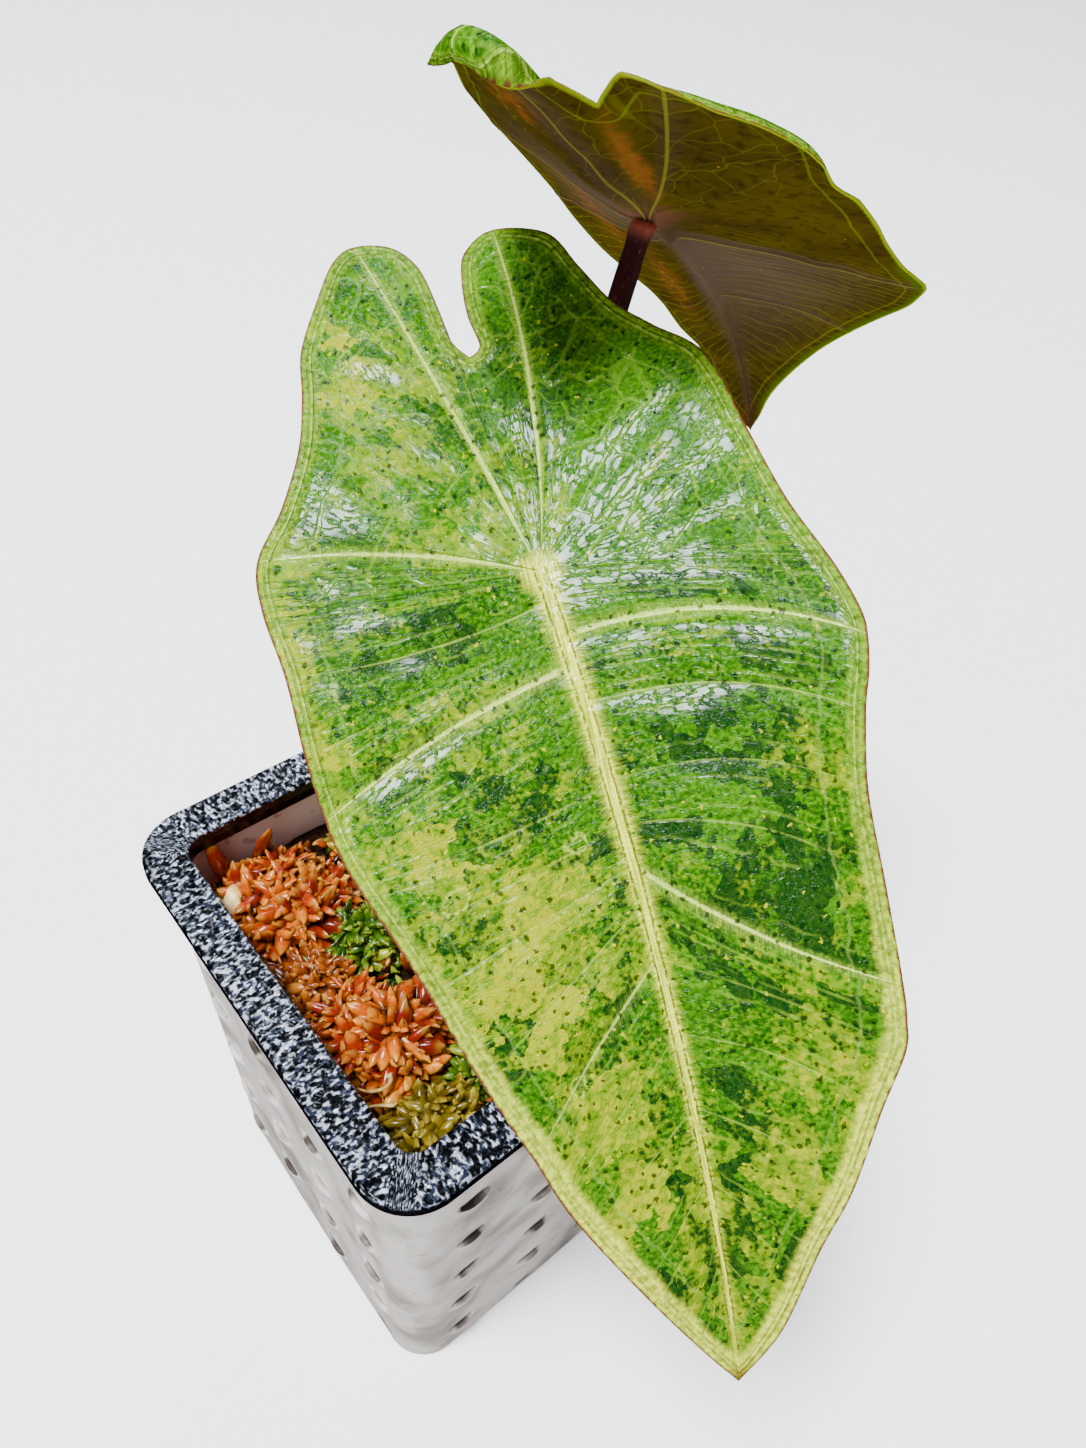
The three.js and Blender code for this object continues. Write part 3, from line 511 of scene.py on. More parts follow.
def collar_section():
    """The rim's section from the skirt's inside, over the face and down the lip: how far
    out each point is, the radius of its corner, and its height."""
    half, inner = COLLAR_SIDE / 2, COLLAR_SIDE / 2 - COLLAR_FACE
    top = POT_HEIGHT
    under = BODY_TOP + 0.3
    seat = body_half(BODY_TOP) + 0.3
    arc = np.linspace(0, np.pi / 2, 5)
    from_side, from_top = EDGE_ROUND * (1 - np.cos(arc)), EDGE_ROUND * (1 - np.sin(arc))
    outer_edge = [(half - a, COLLAR_CORNER - a, top - b) for a, b in zip(from_side, from_top)]
    face = [(h, COLLAR_CORNER - (half - h) * (COLLAR_CORNER - INNER_CORNER) / COLLAR_FACE, top)
            for h in np.linspace(half - EDGE_ROUND, inner + EDGE_ROUND, 26)[1:-1]]
    inner_edge = [(inner + b, INNER_CORNER + b, top - a) for a, b in zip(from_side, from_top)]
    return np.array([
        (seat, BODY_CORNER + 0.3, under), (seat, BODY_CORNER + 0.3, top - SKIRT_DEPTH),
        (half - 0.3, COLLAR_CORNER - 0.3, top - SKIRT_DEPTH),
        (half, COLLAR_CORNER, top - SKIRT_DEPTH + 0.5), *outer_edge, *face, *inner_edge,
        (inner, INNER_CORNER, top - LIP_DEPTH),
        (inner + LIP_WALL, INNER_CORNER + LIP_WALL, top - LIP_DEPTH),
        (inner + LIP_WALL, INNER_CORNER + LIP_WALL, under), (seat, BODY_CORNER + 0.3, under)])


side_share = np.concatenate([np.linspace(-1, -STRAIGHT_SHARE, 22),
                             np.linspace(-STRAIGHT_SHARE, STRAIGHT_SHARE, 190)[1:-1],
                             np.linspace(STRAIGHT_SHARE, 1, 22)])[:-1]


def collar_ring(half, corner, z):
    """One point of the section carried round the square. STRAIGHT_SHARE of the points of
    a side lie on its straight stretch, and the others on its half of each corner."""
    straight = half - corner
    past = (np.abs(side_share) - STRAIGHT_SHARE) / (1 - STRAIGHT_SHARE) * corner * np.pi / 4
    reach = np.where(np.abs(side_share) < STRAIGHT_SHARE, side_share / STRAIGHT_SHARE * straight,
                     np.sign(side_share) * (straight + past))
    x, y = round_square(half, corner, reach)
    return np.concatenate(four_sides(x, y, np.full_like(x, z)))


section = collar_section()
rim_points = np.stack([collar_ring(*point) for point in section])
out = COLLAR_SIDE / 2 - section[:, 0]
on_face = np.clip(np.minimum(out - 0.3, COLLAR_FACE - 0.3 - out), 0, 0.8) / 0.8
on_face = on_face * (section[:, 2] > POT_HEIGHT - EDGE_ROUND)
near, second = bumps(rim_points[..., 0], rim_points[..., 1], PIT_PITCH, 3.0)
near2, second2 = bumps(rim_points[..., 0] + 40, rim_points[..., 1] - 25, PIT_PITCH * 0.6, 8.0)
dent = np.clip(second - near, 0, 0.5) * 2 * 0.7 + np.clip(second2 - near2, 0, 0.4) * 0.5
rim_points[..., 2] -= PIT_DEPTH * (1 - dent) * on_face[:, None]


def hammered_plastic(v):
    """Two sizes of round cells, drawn out along each side, give the pits their height. The
    pits are painted near black as painted shade, and the ridges between them navy, with
    painted glints, nearly white, where a fine noise breaks them up."""
    at = v.place()
    x, y, z = at.split()
    face = z.step(0.1088, 0.1096)
    beside = (abs(x) - abs(y)).step(-0.004, 0.004)
    drawn = v.vector(x * (1 - beside * 0.4), y * (0.6 + beside * 0.4), z)
    bent = v.nudged(drawn, v.noise(at, 300.0, 2.0, "Color"), (0.0009, 0.0009, 0.0))
    pits = v.cells(bent, 1200.0, "SMOOTH_F1")
    crests = v.cells(bent, 1900.0, "SMOOTH_F1")
    irregular = v.noise(at, 240.0, 3.0)
    ridge = (pits + (crests - 0.3) * 0.45 + (irregular - 0.5) * 0.35).step(0.39, 0.60)
    glint = v.noise(bent, 1500.0, 3.0).step(0.46, 0.58)
    ridge_glints = glint.choose(linear(40, 46, 64), linear(206, 214, 232))
    # pits painted near black as painted shade; ridges navy with painted glints
    color = ridge.choose(linear(5, 7, 12), ridge_glints)
    color = face.choose(linear(14, 15, 20), color)
    return {"Base Color": color, "Roughness": 0.2 + 0.1 * face, "Metallic": 0.5 * face,
            "Normal": v.bump(1.0, 0.0007, (pits + crests * 0.4) * face),
            "Coat Weight": 0.5 * face, "Coat Roughness": 0.12, "Specular IOR Level": 0.2}


rim = surface("pot_rim", rim_points.reshape(-1, 3), grid(*rim_points.shape[:2], wrap=True),
              [finish("hammered_plastic", hammered_plastic)], merge=0.01)
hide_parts("pot_collar")
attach(rim, "root")


# ---- Substrate ---------------------------------------------------------------------
# Dark wet fibre and bark packed into the pot, a little lower between the moss heads. The
# stem stands in a round hole in it.

SUBSTRATE_TOP = 93
STEM_CENTRE = np.array((-3.0, 1.0))
STEM_RADIUS = 7.8
HOLE_DEPTH = 26


def ripples(x, y, seed, count=14, low=4, high=14):
    """Smooth unevenness from -1 to 1: a sum of waves of random length and direction."""
    draw = np.random.default_rng(seed)
    total = np.zeros(np.shape(x))
    for _ in range(count):
        heading, phase = draw.uniform(0, 2 * np.pi, 2)
        length = draw.uniform(low, high)
        total += np.sin((x * np.cos(heading) + y * np.sin(heading)) * 2 * np.pi / length + phase)
    return total / np.sqrt(count) / 1.6


def substrate_block():
    """Rings of a rounded square: up the side of the pot, then inwards over the top, whose
    shape moves from the square to the circle of the stem's hole, and down the hole."""
    walk = np.linspace(0, 2 * np.pi, 241)[:-1]
    square = np.stack([np.cos(walk), np.sin(walk)], -1)
    stretch = (np.abs(square) ** 7).sum(-1, keepdims=True) ** (-1 / 7)
    outline = square * stretch
    rings = []
    for z in np.linspace(BASE_THICKNESS + 0.4, SUBSTRATE_TOP - 1.5, 60):
        half = body_half(z) - WALL - 0.5
        uneven = 0.35 * ripples(walk * 40, z + walk * 0, 5)
        side = (half - 0.2 - 0.3 * (uneven + 1))[:, None]
        rings.append(np.column_stack([outline * side, walk * 0 + z]))
    hole = STEM_CENTRE + square * (STEM_RADIUS + 0.4)
    edge = outline * (body_half(SUBSTRATE_TOP) - WALL - 0.9)
    for inward in np.linspace(0, 1, 46):
        flat = edge * (1 - inward) + hole * inward
        z = SUBSTRATE_TOP - 0.5 - 0.9 * (1 + ripples(flat[:, 0], flat[:, 1], 9)) * 0.8
        rings.append(np.column_stack([flat, z]))
    for z in (SUBSTRATE_TOP - 10, SUBSTRATE_TOP - HOLE_DEPTH):
        rings.append(np.column_stack([hole, walk * 0 + z]))
    floor_z = SUBSTRATE_TOP - HOLE_DEPTH
    rings.append(np.column_stack([np.repeat(STEM_CENTRE[None], 240, 0), walk * 0 + floor_z]))
    rings.insert(0, np.column_stack([outline * 0, walk * 0 + BASE_THICKNESS + 0.4]))
    return np.stack(rings)


def wet_fibre(v):
    at = v.place()
    bent = v.nudged(at, v.noise(at, 140.0, 3.0, "Color"), (0.006, 0.006, 0.006))
    strand = v.noise(v.drawn_out(bent, (1.0, 5.0, 2.0)), 320.0, 4.0)
    crumb = v.cells(bent, 420.0)
    color = strand.step(0.4, 0.7).choose(linear(16, 9, 5), linear(56, 32, 15))
    color = (crumb.step(0.1, 0.5) * 0.5).choose(color, linear(30, 16, 8))
    return {"Base Color": color, "Roughness": 0.35 + 0.35 * strand,
            "Normal": v.bump(0.9, 0.0012, strand + 0.5 * crumb), "Specular IOR Level": 0.25}


block = substrate_block()
soil = surface("substrate_block", block.reshape(-1, 3), grid(*block.shape[:2], wrap=True),
               [finish("wet_fibre", wet_fibre)], merge=0.01)
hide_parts("substrate")
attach(soil, "root")


# ---- Leaf blades -------------------------------------------------------------------
# Each blade is one sheet of living leaf, laid out as the plant grows it: a row for each
# lateral vein, from where it leaves the midrib to where it meets the margin. Above it is
# glossy and puckered, and patched in green and yellow. Below it is bronze, with ribs.
# A row is (start on the midrib, end along, end out, bow, rib strength, lift of the margin).

BLADE_THICKNESS = 0.6
FULL_PUCKER_SPACING = 9
RIDGE_WIDTH = 0.8
MIDRIB_HEIGHT, MIDRIB_WIDTH = 1.5, 2.0
FOLD_ROUND = 4
MAIN_RIB = 0.7
BRANCH_PITCH, BRANCH_LEAN = 7.5, 0.8
QUILT_HEIGHT, SWELL_HEIGHT = 0.10, 0.30
GROOVE_DEPTH, GROOVE_WIDTH = 0.30, 0.9
LIP_OUT = 0.12
MARGIN_LINES, MARGIN_GLEAM = (1.75, 0.95), 1.35
FRECKLES_PER_MM, SPARKS_PER_MM, ISLANDS_PER_MM = 0.50, 0.26, 0.062

FRONT_LEAF = dict(
    joint=(5.7, -8.1, 183.5), heading=-111.8, droop=28.2, roll=-15.6,
    bend_ahead=0.005, bend_behind=0.002, fold_left=8, fold_right=8,
    length=117.3, sway=-2.6, shared=14, pucker=0.8, rib=0.8, curl=(),
    left=(
        (117.3, 117.3, 0, 0, 0, 0), (105, 113, 4.5, 0, 0, 0),
        (95.6, 107.8, 8.2, 0, 0.3, 0.4), (83.8, 97.5, 14.5, 0, 0.3, -0.3),
        (73.5, 88.6, 20.1, -1.3, 0.5, 0.6), (63.5, 78.7, 25.9, -2.1, 0.6, -0.5),
        (53.4, 71, 30.1, -0.8, 0.4, 0.6), (46, 67, 31, 1, 0, 1),
        (41, 62.8, 31.6, 1.7, 1, 0.2), (35.7, 50.3, 32.5, -3.5, 0.5, -1),
        (30, 38.5, 33.2, -3.4, 0.6, -0.6), (19.4, 29.1, 35.2, -3.2, 0.7, 0.8),
        (13.9, 24.5, 36.8, -3, 0, 1.4), (9.7, 20, 38, -3.6, 1, 0.8),
        (4.4, 16.5, 38.2, -2, 0, 0), (0, 10, 36.9, -1, 0.3, -0.8),
        (0, 0, 33.8, 0, 0.4, -1.2), (0, -10.5, 31.5, 0, 0.5, 0.3),
        (0, -23.2, 29.2, 0, 0.6, 0.8), (0, -31, 23.8, 0, 0.2, -0.4),
        (0, -37, 19.6, 0.5, 0.4, -0.8), (0, -43.8, 16.5, 1, 0.3, 0.2),
        (0, -51, 13.4, 1.6, 0.3, 0.8), (0, -55.7, 5.8, 2.3, 1, 0),
        (0, -53.6, 1, 3.6, 0, -0.4), (0, -48.5, -0.5, 3.4, 0, 0),
        (0, -42, -1, 2.4, 0, 0), (0, -36.2, -0.4, 0.9, 0, 0), (0, -34.6, -2.2, 0, 0, 0)),
    right=(
        (117.3, 117.3, 0, 0, 0, 0), (105, 112.6, 2.6, 0, 0, 0),
        (95.6, 107.5, 5.3, 0, 0.3, -0.3), (83.8, 97.1, 10, 0, 0.3, 0.4),
        (73.5, 87.4, 14.7, 0, 0.4, -0.4), (63.5, 80.7, 17.2, 0, 0.3, 0.3),
        (53.4, 74.3, 19, -0.5, 0.8, 0.8), (46, 62.8, 23.1, 0, 0.4, -0.6),
        (41, 50.2, 26.7, 0, 0.6, 0.3), (35.7, 42.5, 29.3, 0.4, 0.5, 0.8),
        (30, 35.1, 32.2, 1.2, 0.5, 0.2), (19.4, 30.5, 33.6, -0.5, 0, -0.3),
        (13.9, 26.5, 34.3, -1.4, 1, -0.8), (9.7, 18.3, 35, 0, 0.3, 0.5),
        (4.4, 7.9, 35.4, 1.7, 0.7, 1), (0, -1.7, 36.8, -0.3, 0.3, 0.2),
        (0, -9.1, 36.4, -1.7, 1, -0.8), (0, -15.5, 32, 0, 0.3, 0.3),
        (0, -23.5, 28.2, 0, 0.3, 1.2), (0, -32.1, 26.5, 0, 0.3, 0.4),
        (0, -40.5, 25.5, 0, 0.3, -0.7), (0, -48.3, 22, 0, 0.3, 0),
        (0, -54.5, 18.6, 0, 0.2, 0.6), (0, -57.4, 15, -0.5, 1, 0.2),
        (0, -57, 9.6, 0, 0, -0.5), (0, -51.9, 6.3, 0, 0, 0),
        (0, -44.1, 4.9, 0, 0, 0), (0, -38, 4.2, 0, 0, 0), (0, -34.6, 2.2, 0, 0, 0)))

BACK_LEAF = dict(
    joint=(46.1, 19.9, 213.5), heading=28.2, droop=28, roll=23.2,
    bend_ahead=0.0047, bend_behind=-0.0048, fold_left=44.5, fold_right=-18,
    length=110, sway=3.4, shared=11, pucker=0.3, rib=0.3,
    curl=(("left", 16.5, 21.5, 6, 1.9), ("right", 15, 21, 3.5, 3.2)),
    right=(
        (110, 110, 0, 0, 0, 0), (98, 104.5, 3, 0, 0, 0),
        (86, 96.5, 6.3, 0, 0.3, 0.3), (74, 88, 10.2, 0, 0.4, -0.3),
        (63, 79, 15.3, 0, 0.6, 0), (52, 70, 20.8, -1, 0.5, 0.4),
        (44, 59, 27.3, -3.5, 0.8, 0), (36, 47, 34.4, -3, 0.5, -0.4),
        (27, 40.5, 38, -2, 0.4, -0.5), (18, 35.8, 39.9, -1, 0.3, 0),
        (11, 32, 40.6, 0, 1, 0.3), (5, 26, 39, 0, 0.2, 0),
        (0, 18.6, 37, 0, 0.4, -0.4), (0, 8.6, 34.7, 0, 0.4, 0),
        (0, -2.6, 33.1, 0, 0.3, 0.4), (0, -14.6, 31.2, 0, 0.4, 0),
        (0, -23.2, 29.1, 0, 0.3, -0.3), (0, -32, 27.9, 1.5, 0.7, 0),
        (0, -38.2, 23.2, 1.5, 0.3, 0), (0, -41.5, 17.7, 1.5, 0.3, 0),
        (0, -43.8, 12.1, 1.5, 1, 0), (0, -44.2, 7.6, 1, 0, 0),
        (0, -40.6, 4.6, 0.5, 0, 0), (0, -38, 3, 0, 0, 0)),
    left=(
        (110, 110, 0, 0, 0, 0), (98, 104.5, 3, 0, 0, 0),
        (86, 96, 5.2, 0, 0.3, 0.3), (74, 86, 6.6, 0, 0.4, -0.3),
        (63, 78, 8.4, 0, 0.5, 0.4), (52, 70, 11.4, 0, 0.5, -0.4),
        (44, 63.5, 16, 0, 0.7, 0.3), (36, 58.5, 21.5, 0, 0.5, 0),
        (27, 53, 27.6, -0.5, 0.5, -0.4), (18, 47, 32.6, -1, 0.4, 0),
        (11, 39.5, 34.8, -1, 0.8, 0.4), (5, 30.5, 34.2, -1, 0.3, 0),
        (0, 20, 33.4, 0, 0.3, -0.3), (0, 8, 34.2, -1, 1, 0),
        (0, -4, 32.3, 0, 0.3, 0.4), (0, -17, 27.6, 0, 0.3, 0),
        (0, -28, 23.8, 0, 0.3, 0), (0, -38, 20.6, 0, 0.3, 0),
        (0, -47, 18, -1.5, 0.3, 0), (0, -54, 12.2, -3.5, 1, 0),
        (0, -54, 6, -3, 0, 0), (0, -47.5, 2.6, -1.5, 0, 0),
        (0, -42.5, -0.4, 0, 0, 0), (0, -38, -3, 0, 0, 0)))


def between_rows(rows, t):
    """Smooth values between rows, on a uniform spline that passes through every row."""
    last = len(rows) - 1
    k = np.clip(np.floor(t), 0, last - 1).astype(int)
    u = (t - k)[..., None]
    before, here = rows[np.maximum(k - 1, 0)], rows[k]
    there, after = rows[k + 1], rows[np.minimum(k + 2, last)]
    leave, arrive = (there - before) / 2, (after - here) / 2
    return (((2 * here - 2 * there + leave + arrive) * u
             + (3 * there - 3 * here - 2 * leave - arrive)) * u + leave) * u + here


class Blade:
    """The surface of one leaf: t counts its laterals from the tip, and s runs from the
    midrib to the margin. Sizes are in mm."""

    def __init__(self, leaf):
        self.leaf = leaf
        heading, droop, roll = np.radians([leaf["heading"], leaf["droop"], leaf["roll"]])
        level = np.array((np.cos(heading), np.sin(heading), 0))
        self.axis = level * np.cos(droop) - np.array((0, 0, np.sin(droop)))
        side = np.array((level[1], -level[0], 0))
        normal = np.cross(side, self.axis)
        self.side = side * np.cos(roll) + normal * np.sin(roll)
        self.normal = np.cross(self.side, self.axis)
        self.rows = {half: np.array(leaf[half], float) for half in ("left", "right")}

    def bare(self, along, across):
        """The sheet without its puckers: the midrib bends down in an arc, and each half
        is folded about it, rounded next to it."""
        leaf = self.leaf
        bend = np.where(along > 0, leaf["bend_ahead"], leaf["bend_behind"])
        angle = bend * along
        fold = np.radians(np.where(across > 0, leaf["fold_right"], leaf["fold_left"]))
        rise = np.hypot(across, FOLD_ROUND) - FOLD_ROUND
        parts = ((np.sin(angle) / bend + rise * np.sin(fold) * np.sin(angle), self.axis),
                 ((np.cos(angle) - 1) / bend + rise * np.sin(fold) * np.cos(angle), self.normal),
                 (across * np.cos(fold), self.side))
        return np.array(leaf["joint"]) + sum(size[..., None] * way for size, way in parts)

    def facing(self, along, across):
        """The direction that the bare sheet faces."""
        step = 0.05
        ahead = self.bare(along + step, across) - self.bare(along - step, across)
        aside = self.bare(along, across + step) - self.bare(along, across - step)
        out = np.cross(aside, ahead)
        return out / np.linalg.norm(out, axis=-1, keepdims=True)

    def flat(self, half, t, s):
        """Where the lateral t is at the share s of its length: a bowed line on the flat
        leaf. Gives along, across, its whole length and its margin's lift."""
        sign = 1 if half == "right" else -1
        row = between_rows(self.rows[half], t)
        start, end_along, end_out, bow, _, lift = np.moveaxis(row, -1, 0)
        start = np.maximum(start, 0)
        reach = start / self.leaf["length"]
        start_out = self.leaf["sway"] * 4 * reach * (1 - reach) * sign
        run, rise = end_along - start, end_out - start_out
        length = np.maximum(np.hypot(run, rise), 1e-6)
        bowed = 4 * s * (1 - s) * bow
        along = start + s * run + bowed * rise / length
        out = start_out + s * rise - bowed * run / length
        return along, out * sign, length, lift, start

    def lobe(self, t):
        """0 in the blade proper and 1 in the lobes, behind the leaf's joint."""
        return np.clip(t - self.leaf["shared"] - 0.5, 0, 1)

    def rib(self, half, t):
        """Strength of the nearest rib, and how far away it is in rows."""
        nearest = np.round(t).astype(int)
        return self.rows[half][nearest, 4], np.abs(t - nearest)

    def branching(self, half, along, across):
        """How far along the nearest main rib of the lobes a place lies, and how far from
        it. Small veins branch off the ribs there, in place of laterals off the midrib."""
        ribs = [k for k in range(self.leaf["shared"] - 1, len(self.rows[half]))
                if self.rows[half][k, 4] >= MAIN_RIB]
        nearest = np.full(along.shape, 1e9)
        walked = np.zeros(along.shape)
        share = np.linspace(0, 1, 60)
        for k in ribs:
            rib_along, rib_across, length, *_ = self.flat(half, np.full(share.shape, float(k)),
                                                          share)
            for a, c, run in zip(rib_along, rib_across, share * length):
                away = np.hypot(along - a, across - c)
                walked = np.where(away < nearest, run, walked)
                nearest = np.minimum(nearest, away)
        return walked, nearest

    def skins(self, half, t, s):
        """Upper and lower skin. The upper one is puckered between the ribs by 4 s (1 - s)
        times a falling share of the rows away, and in the lobes by a cosine across their
        small veins. Its margin lifts by the cube of s, and past flat_share it may roll
        under in an arc. The ribs stand out of the lower one as bells, exp(-x x)."""
        along, across, length, lift, start = self.flat(half, t, s)
        last = len(self.rows[half]) - 1
        width, radius = np.zeros_like(t), np.full_like(t, 1e6)
        for side, first, end, roll_width, roll_radius in self.leaf["curl"]:
            if side == half:
                strength = np.clip(np.minimum(t - first, end - t) / 2, 0, 1)
                width = np.where(strength > 0, roll_width, width)
                radius = np.where(strength > 0, roll_radius / np.maximum(strength, 1e-6), radius)
        flat_share = np.minimum(s, 1 - width / length)
        at, beside, *_ = self.flat(half, t, flat_share)
        up = self.facing(at, beside)
        top = self.bare(at, beside)
        edge_fade = np.clip(np.minimum(t, last - t), 0, 1)
        next_along, next_across, *_ = self.flat(half, t + 0.1, s)
        spacing = 10 * np.hypot(next_along - along, next_across - across)
        strength, rows_away = self.rib(half, t)
        away = rows_away * spacing
        hill = 4 * s * (1 - s) * edge_fade * np.clip(spacing / FULL_PUCKER_SPACING, 0, 1)
        lobe = self.lobe(t)
        walked, apart = self.branching(half, along, across)
        main = np.clip((strength - 0.55) / 0.3, 0, 1)
        on_rib = np.clip(1 - rows_away / 0.5, 0, 1)
        pucker = self.leaf["pucker"] * hill * (1 - 1.3 * strength * on_rib)
        quilting = (QUILT_HEIGHT
                    * np.cos(2 * np.pi * (walked - BRANCH_LEAN * apart) / BRANCH_PITCH)
                    * np.clip(apart / 6, 0, 1) * 4 * s * (1 - s) * edge_fade)
        pucker = pucker * (1 - 0.7 * lobe) - quilting * lobe
        swell = (SWELL_HEIGHT * 4 * s * (1 - s) * edge_fade
                 * ripples(along, across, 21, 18, 9, 22))
        groove = (GROOVE_DEPTH * main * np.exp(-(away / GROOVE_WIDTH) ** 2)
                  * np.clip(1.2 - s, 0, 1))
        top = top + up * (pucker + swell - groove + lift * s ** 3 * edge_fade)[..., None]
        rolled = s > flat_share
        back_along, back_across, *_ = self.flat(half, t, flat_share - 0.02)
        out = self.bare(at, beside) - self.bare(back_along, back_across)
        out = out / np.maximum(np.linalg.norm(out, axis=-1, keepdims=True), 1e-9)
        turn = np.where(rolled, (s - flat_share) * length / radius, 0)[..., None]
        radius = radius[..., None]
        top = top + out * radius * np.sin(turn) - up * radius * (1 - np.cos(turn))
        up = up * np.cos(turn) + out * np.sin(turn)
        ridge = (self.leaf["rib"] * (1 - 0.6 * s) * strength * np.clip(spacing / 4, 0.3, 1)
                 * np.exp(-(away / (RIDGE_WIDTH * 0.6)) ** 2) * (s < 1))
        reach = start / self.leaf["length"]
        from_midrib = s * length / (MIDRIB_WIDTH * (1 - 0.6 * reach) * 0.7)
        midrib = MIDRIB_HEIGHT * (1 - 0.75 * reach) * np.exp(-from_midrib ** 2)
        edge_thin = np.clip((1 - s) * length / 3, 0, 1)
        thickness = BLADE_THICKNESS * (0.55 + 0.45 * edge_thin) + np.maximum(ridge, midrib)
        bottom = top - up * thickness[..., None]
        return top, bottom, out, along, across, spacing, strength, length


def blade_piece(name, blade, patches, finishes, samples=44, pitch=0.85):
    """Both halves of a leaf as one closed skin: for every t a loop over the upper skin,
    round the margin and back under. UV maps carry what the finishes follow: the place on
    the flat leaf, the lateral and the share along it, the distance to the margin and to
    the next lateral, the rib's strength and length, and the two tints of the patches."""
    places, quads, which, maps = [], [], [], {}
    steps = []
    for k in range(len(blade.rows["left"]) - 1):
        gaps = [np.hypot(*(rows[k + 1, 1:3] - rows[k, 1:3])) for rows in blade.rows.values()]
        u = np.linspace(0, 1, max(5, int(np.ceil(max(gaps) / pitch))) + 1)[:-1]
        steps.append(k + u - 0.55 * np.sin(2 * np.pi * u) / (2 * np.pi))
    ts = np.append(np.concatenate(steps), len(blade.rows["left"]) - 1)
    v = np.linspace(0, 1, samples)
    ss = v - 0.1 * np.sin(2 * np.pi * v) / (2 * np.pi)
    ss[-1] = 1
    count = 0
    for half in ("left", "right"):
        t, s = np.meshgrid(ts, ss, indexing="ij")
        top, bottom, out, along, across, spacing, strength, length = blade.skins(half, t, s)
        outline = np.stack([along[:, -1], across[:, -1]], -1)
        margin = np.full(t.shape, 99.0)
        dense = np.arange(0, len(ts) - 0.99, 0.4)
        edge = [np.interp(dense, np.arange(len(ts)), outline[:, side]) for side in (0, 1)]
        for a, c in zip(*edge):
            margin = np.minimum(margin, np.hypot(along - a, across - c))
        lip = (top[:, -1:] + bottom[:, -1:]) / 2 + out[:, -1:] * LIP_OUT
        loop = np.concatenate([top, lip, bottom[:, ::-1]], 1)
        places.append(loop.reshape(-1, 3))
        face = grid(*loop.shape[:2])
        if half == "right":
            face = face[:, ::-1]
        quads.append(face + count)
        column = np.tile(np.arange(loop.shape[1] - 1), loop.shape[0] - 1)
        which.append((column > samples - 1).astype(int))
        count += loop.shape[0] * loop.shape[1]

        def looped(a, b):
            pair = np.stack([a, b], -1)
            return np.concatenate([pair, pair[:, -1:], pair[:, ::-1]], 1).reshape(-1, 2)

        tints = [sum(amount * np.exp(-((along - a) / la) ** 2 - ((across - c) / lc) ** 2)
                     for a, c, la, lc, amount in patches[kind]) + np.zeros_like(along)
                 for kind in ("yellow", "warm")]
        lobe = blade.lobe(t)
        for key, a, b in (("vein", t, s), ("place", across, along), ("reach", margin, spacing),
                          ("rib", strength, length), ("tint", *tints),
                          ("branch", *blade.branching(half, along, across)), ("lobe", lobe, lobe)):
            maps.setdefault(key, []).append(looped(a, b))
    return surface(name, np.concatenate(places), np.concatenate(quads), finishes,
                   {key: np.concatenate(value) for key, value in maps.items()},
                   np.concatenate(which), merge=0.004)


def leaf_values(v, sway, leaf_length):
    """What both faces of a leaf read from its UV maps, in mm and rows. reach is the share
    of the leaf's length, middle the distance to the midrib, hub that to the joint, and
    away and run are the distances from the nearest rib and along it."""
    t, s = v.map("vein")
    across, along = v.map("place")
    margin, spacing = v.map("reach")
    strength, length = v.map("rib")
    yellow, warm = v.map("tint")
    walked, apart = v.map("branch")
    lobe = v.map("lobe")[0]
    nearest = v.math("ROUND", t)
    reach = along / leaf_length
    return dict(t=t, s=s, across=across, along=along, margin=margin, spacing=spacing,
                strength=strength, yellow=yellow, warm=warm, nearest=nearest,
                away=abs(t - nearest) * spacing, run=s * length, lobe=lobe, apart=apart,
                branch=walked - apart * BRANCH_LEAN, place=v.vector(across, along),
                reach=reach, middle=abs(across - sway * 4 * reach * (1 - reach)),
                hub=v.math("SQRT", across * across + along * along))


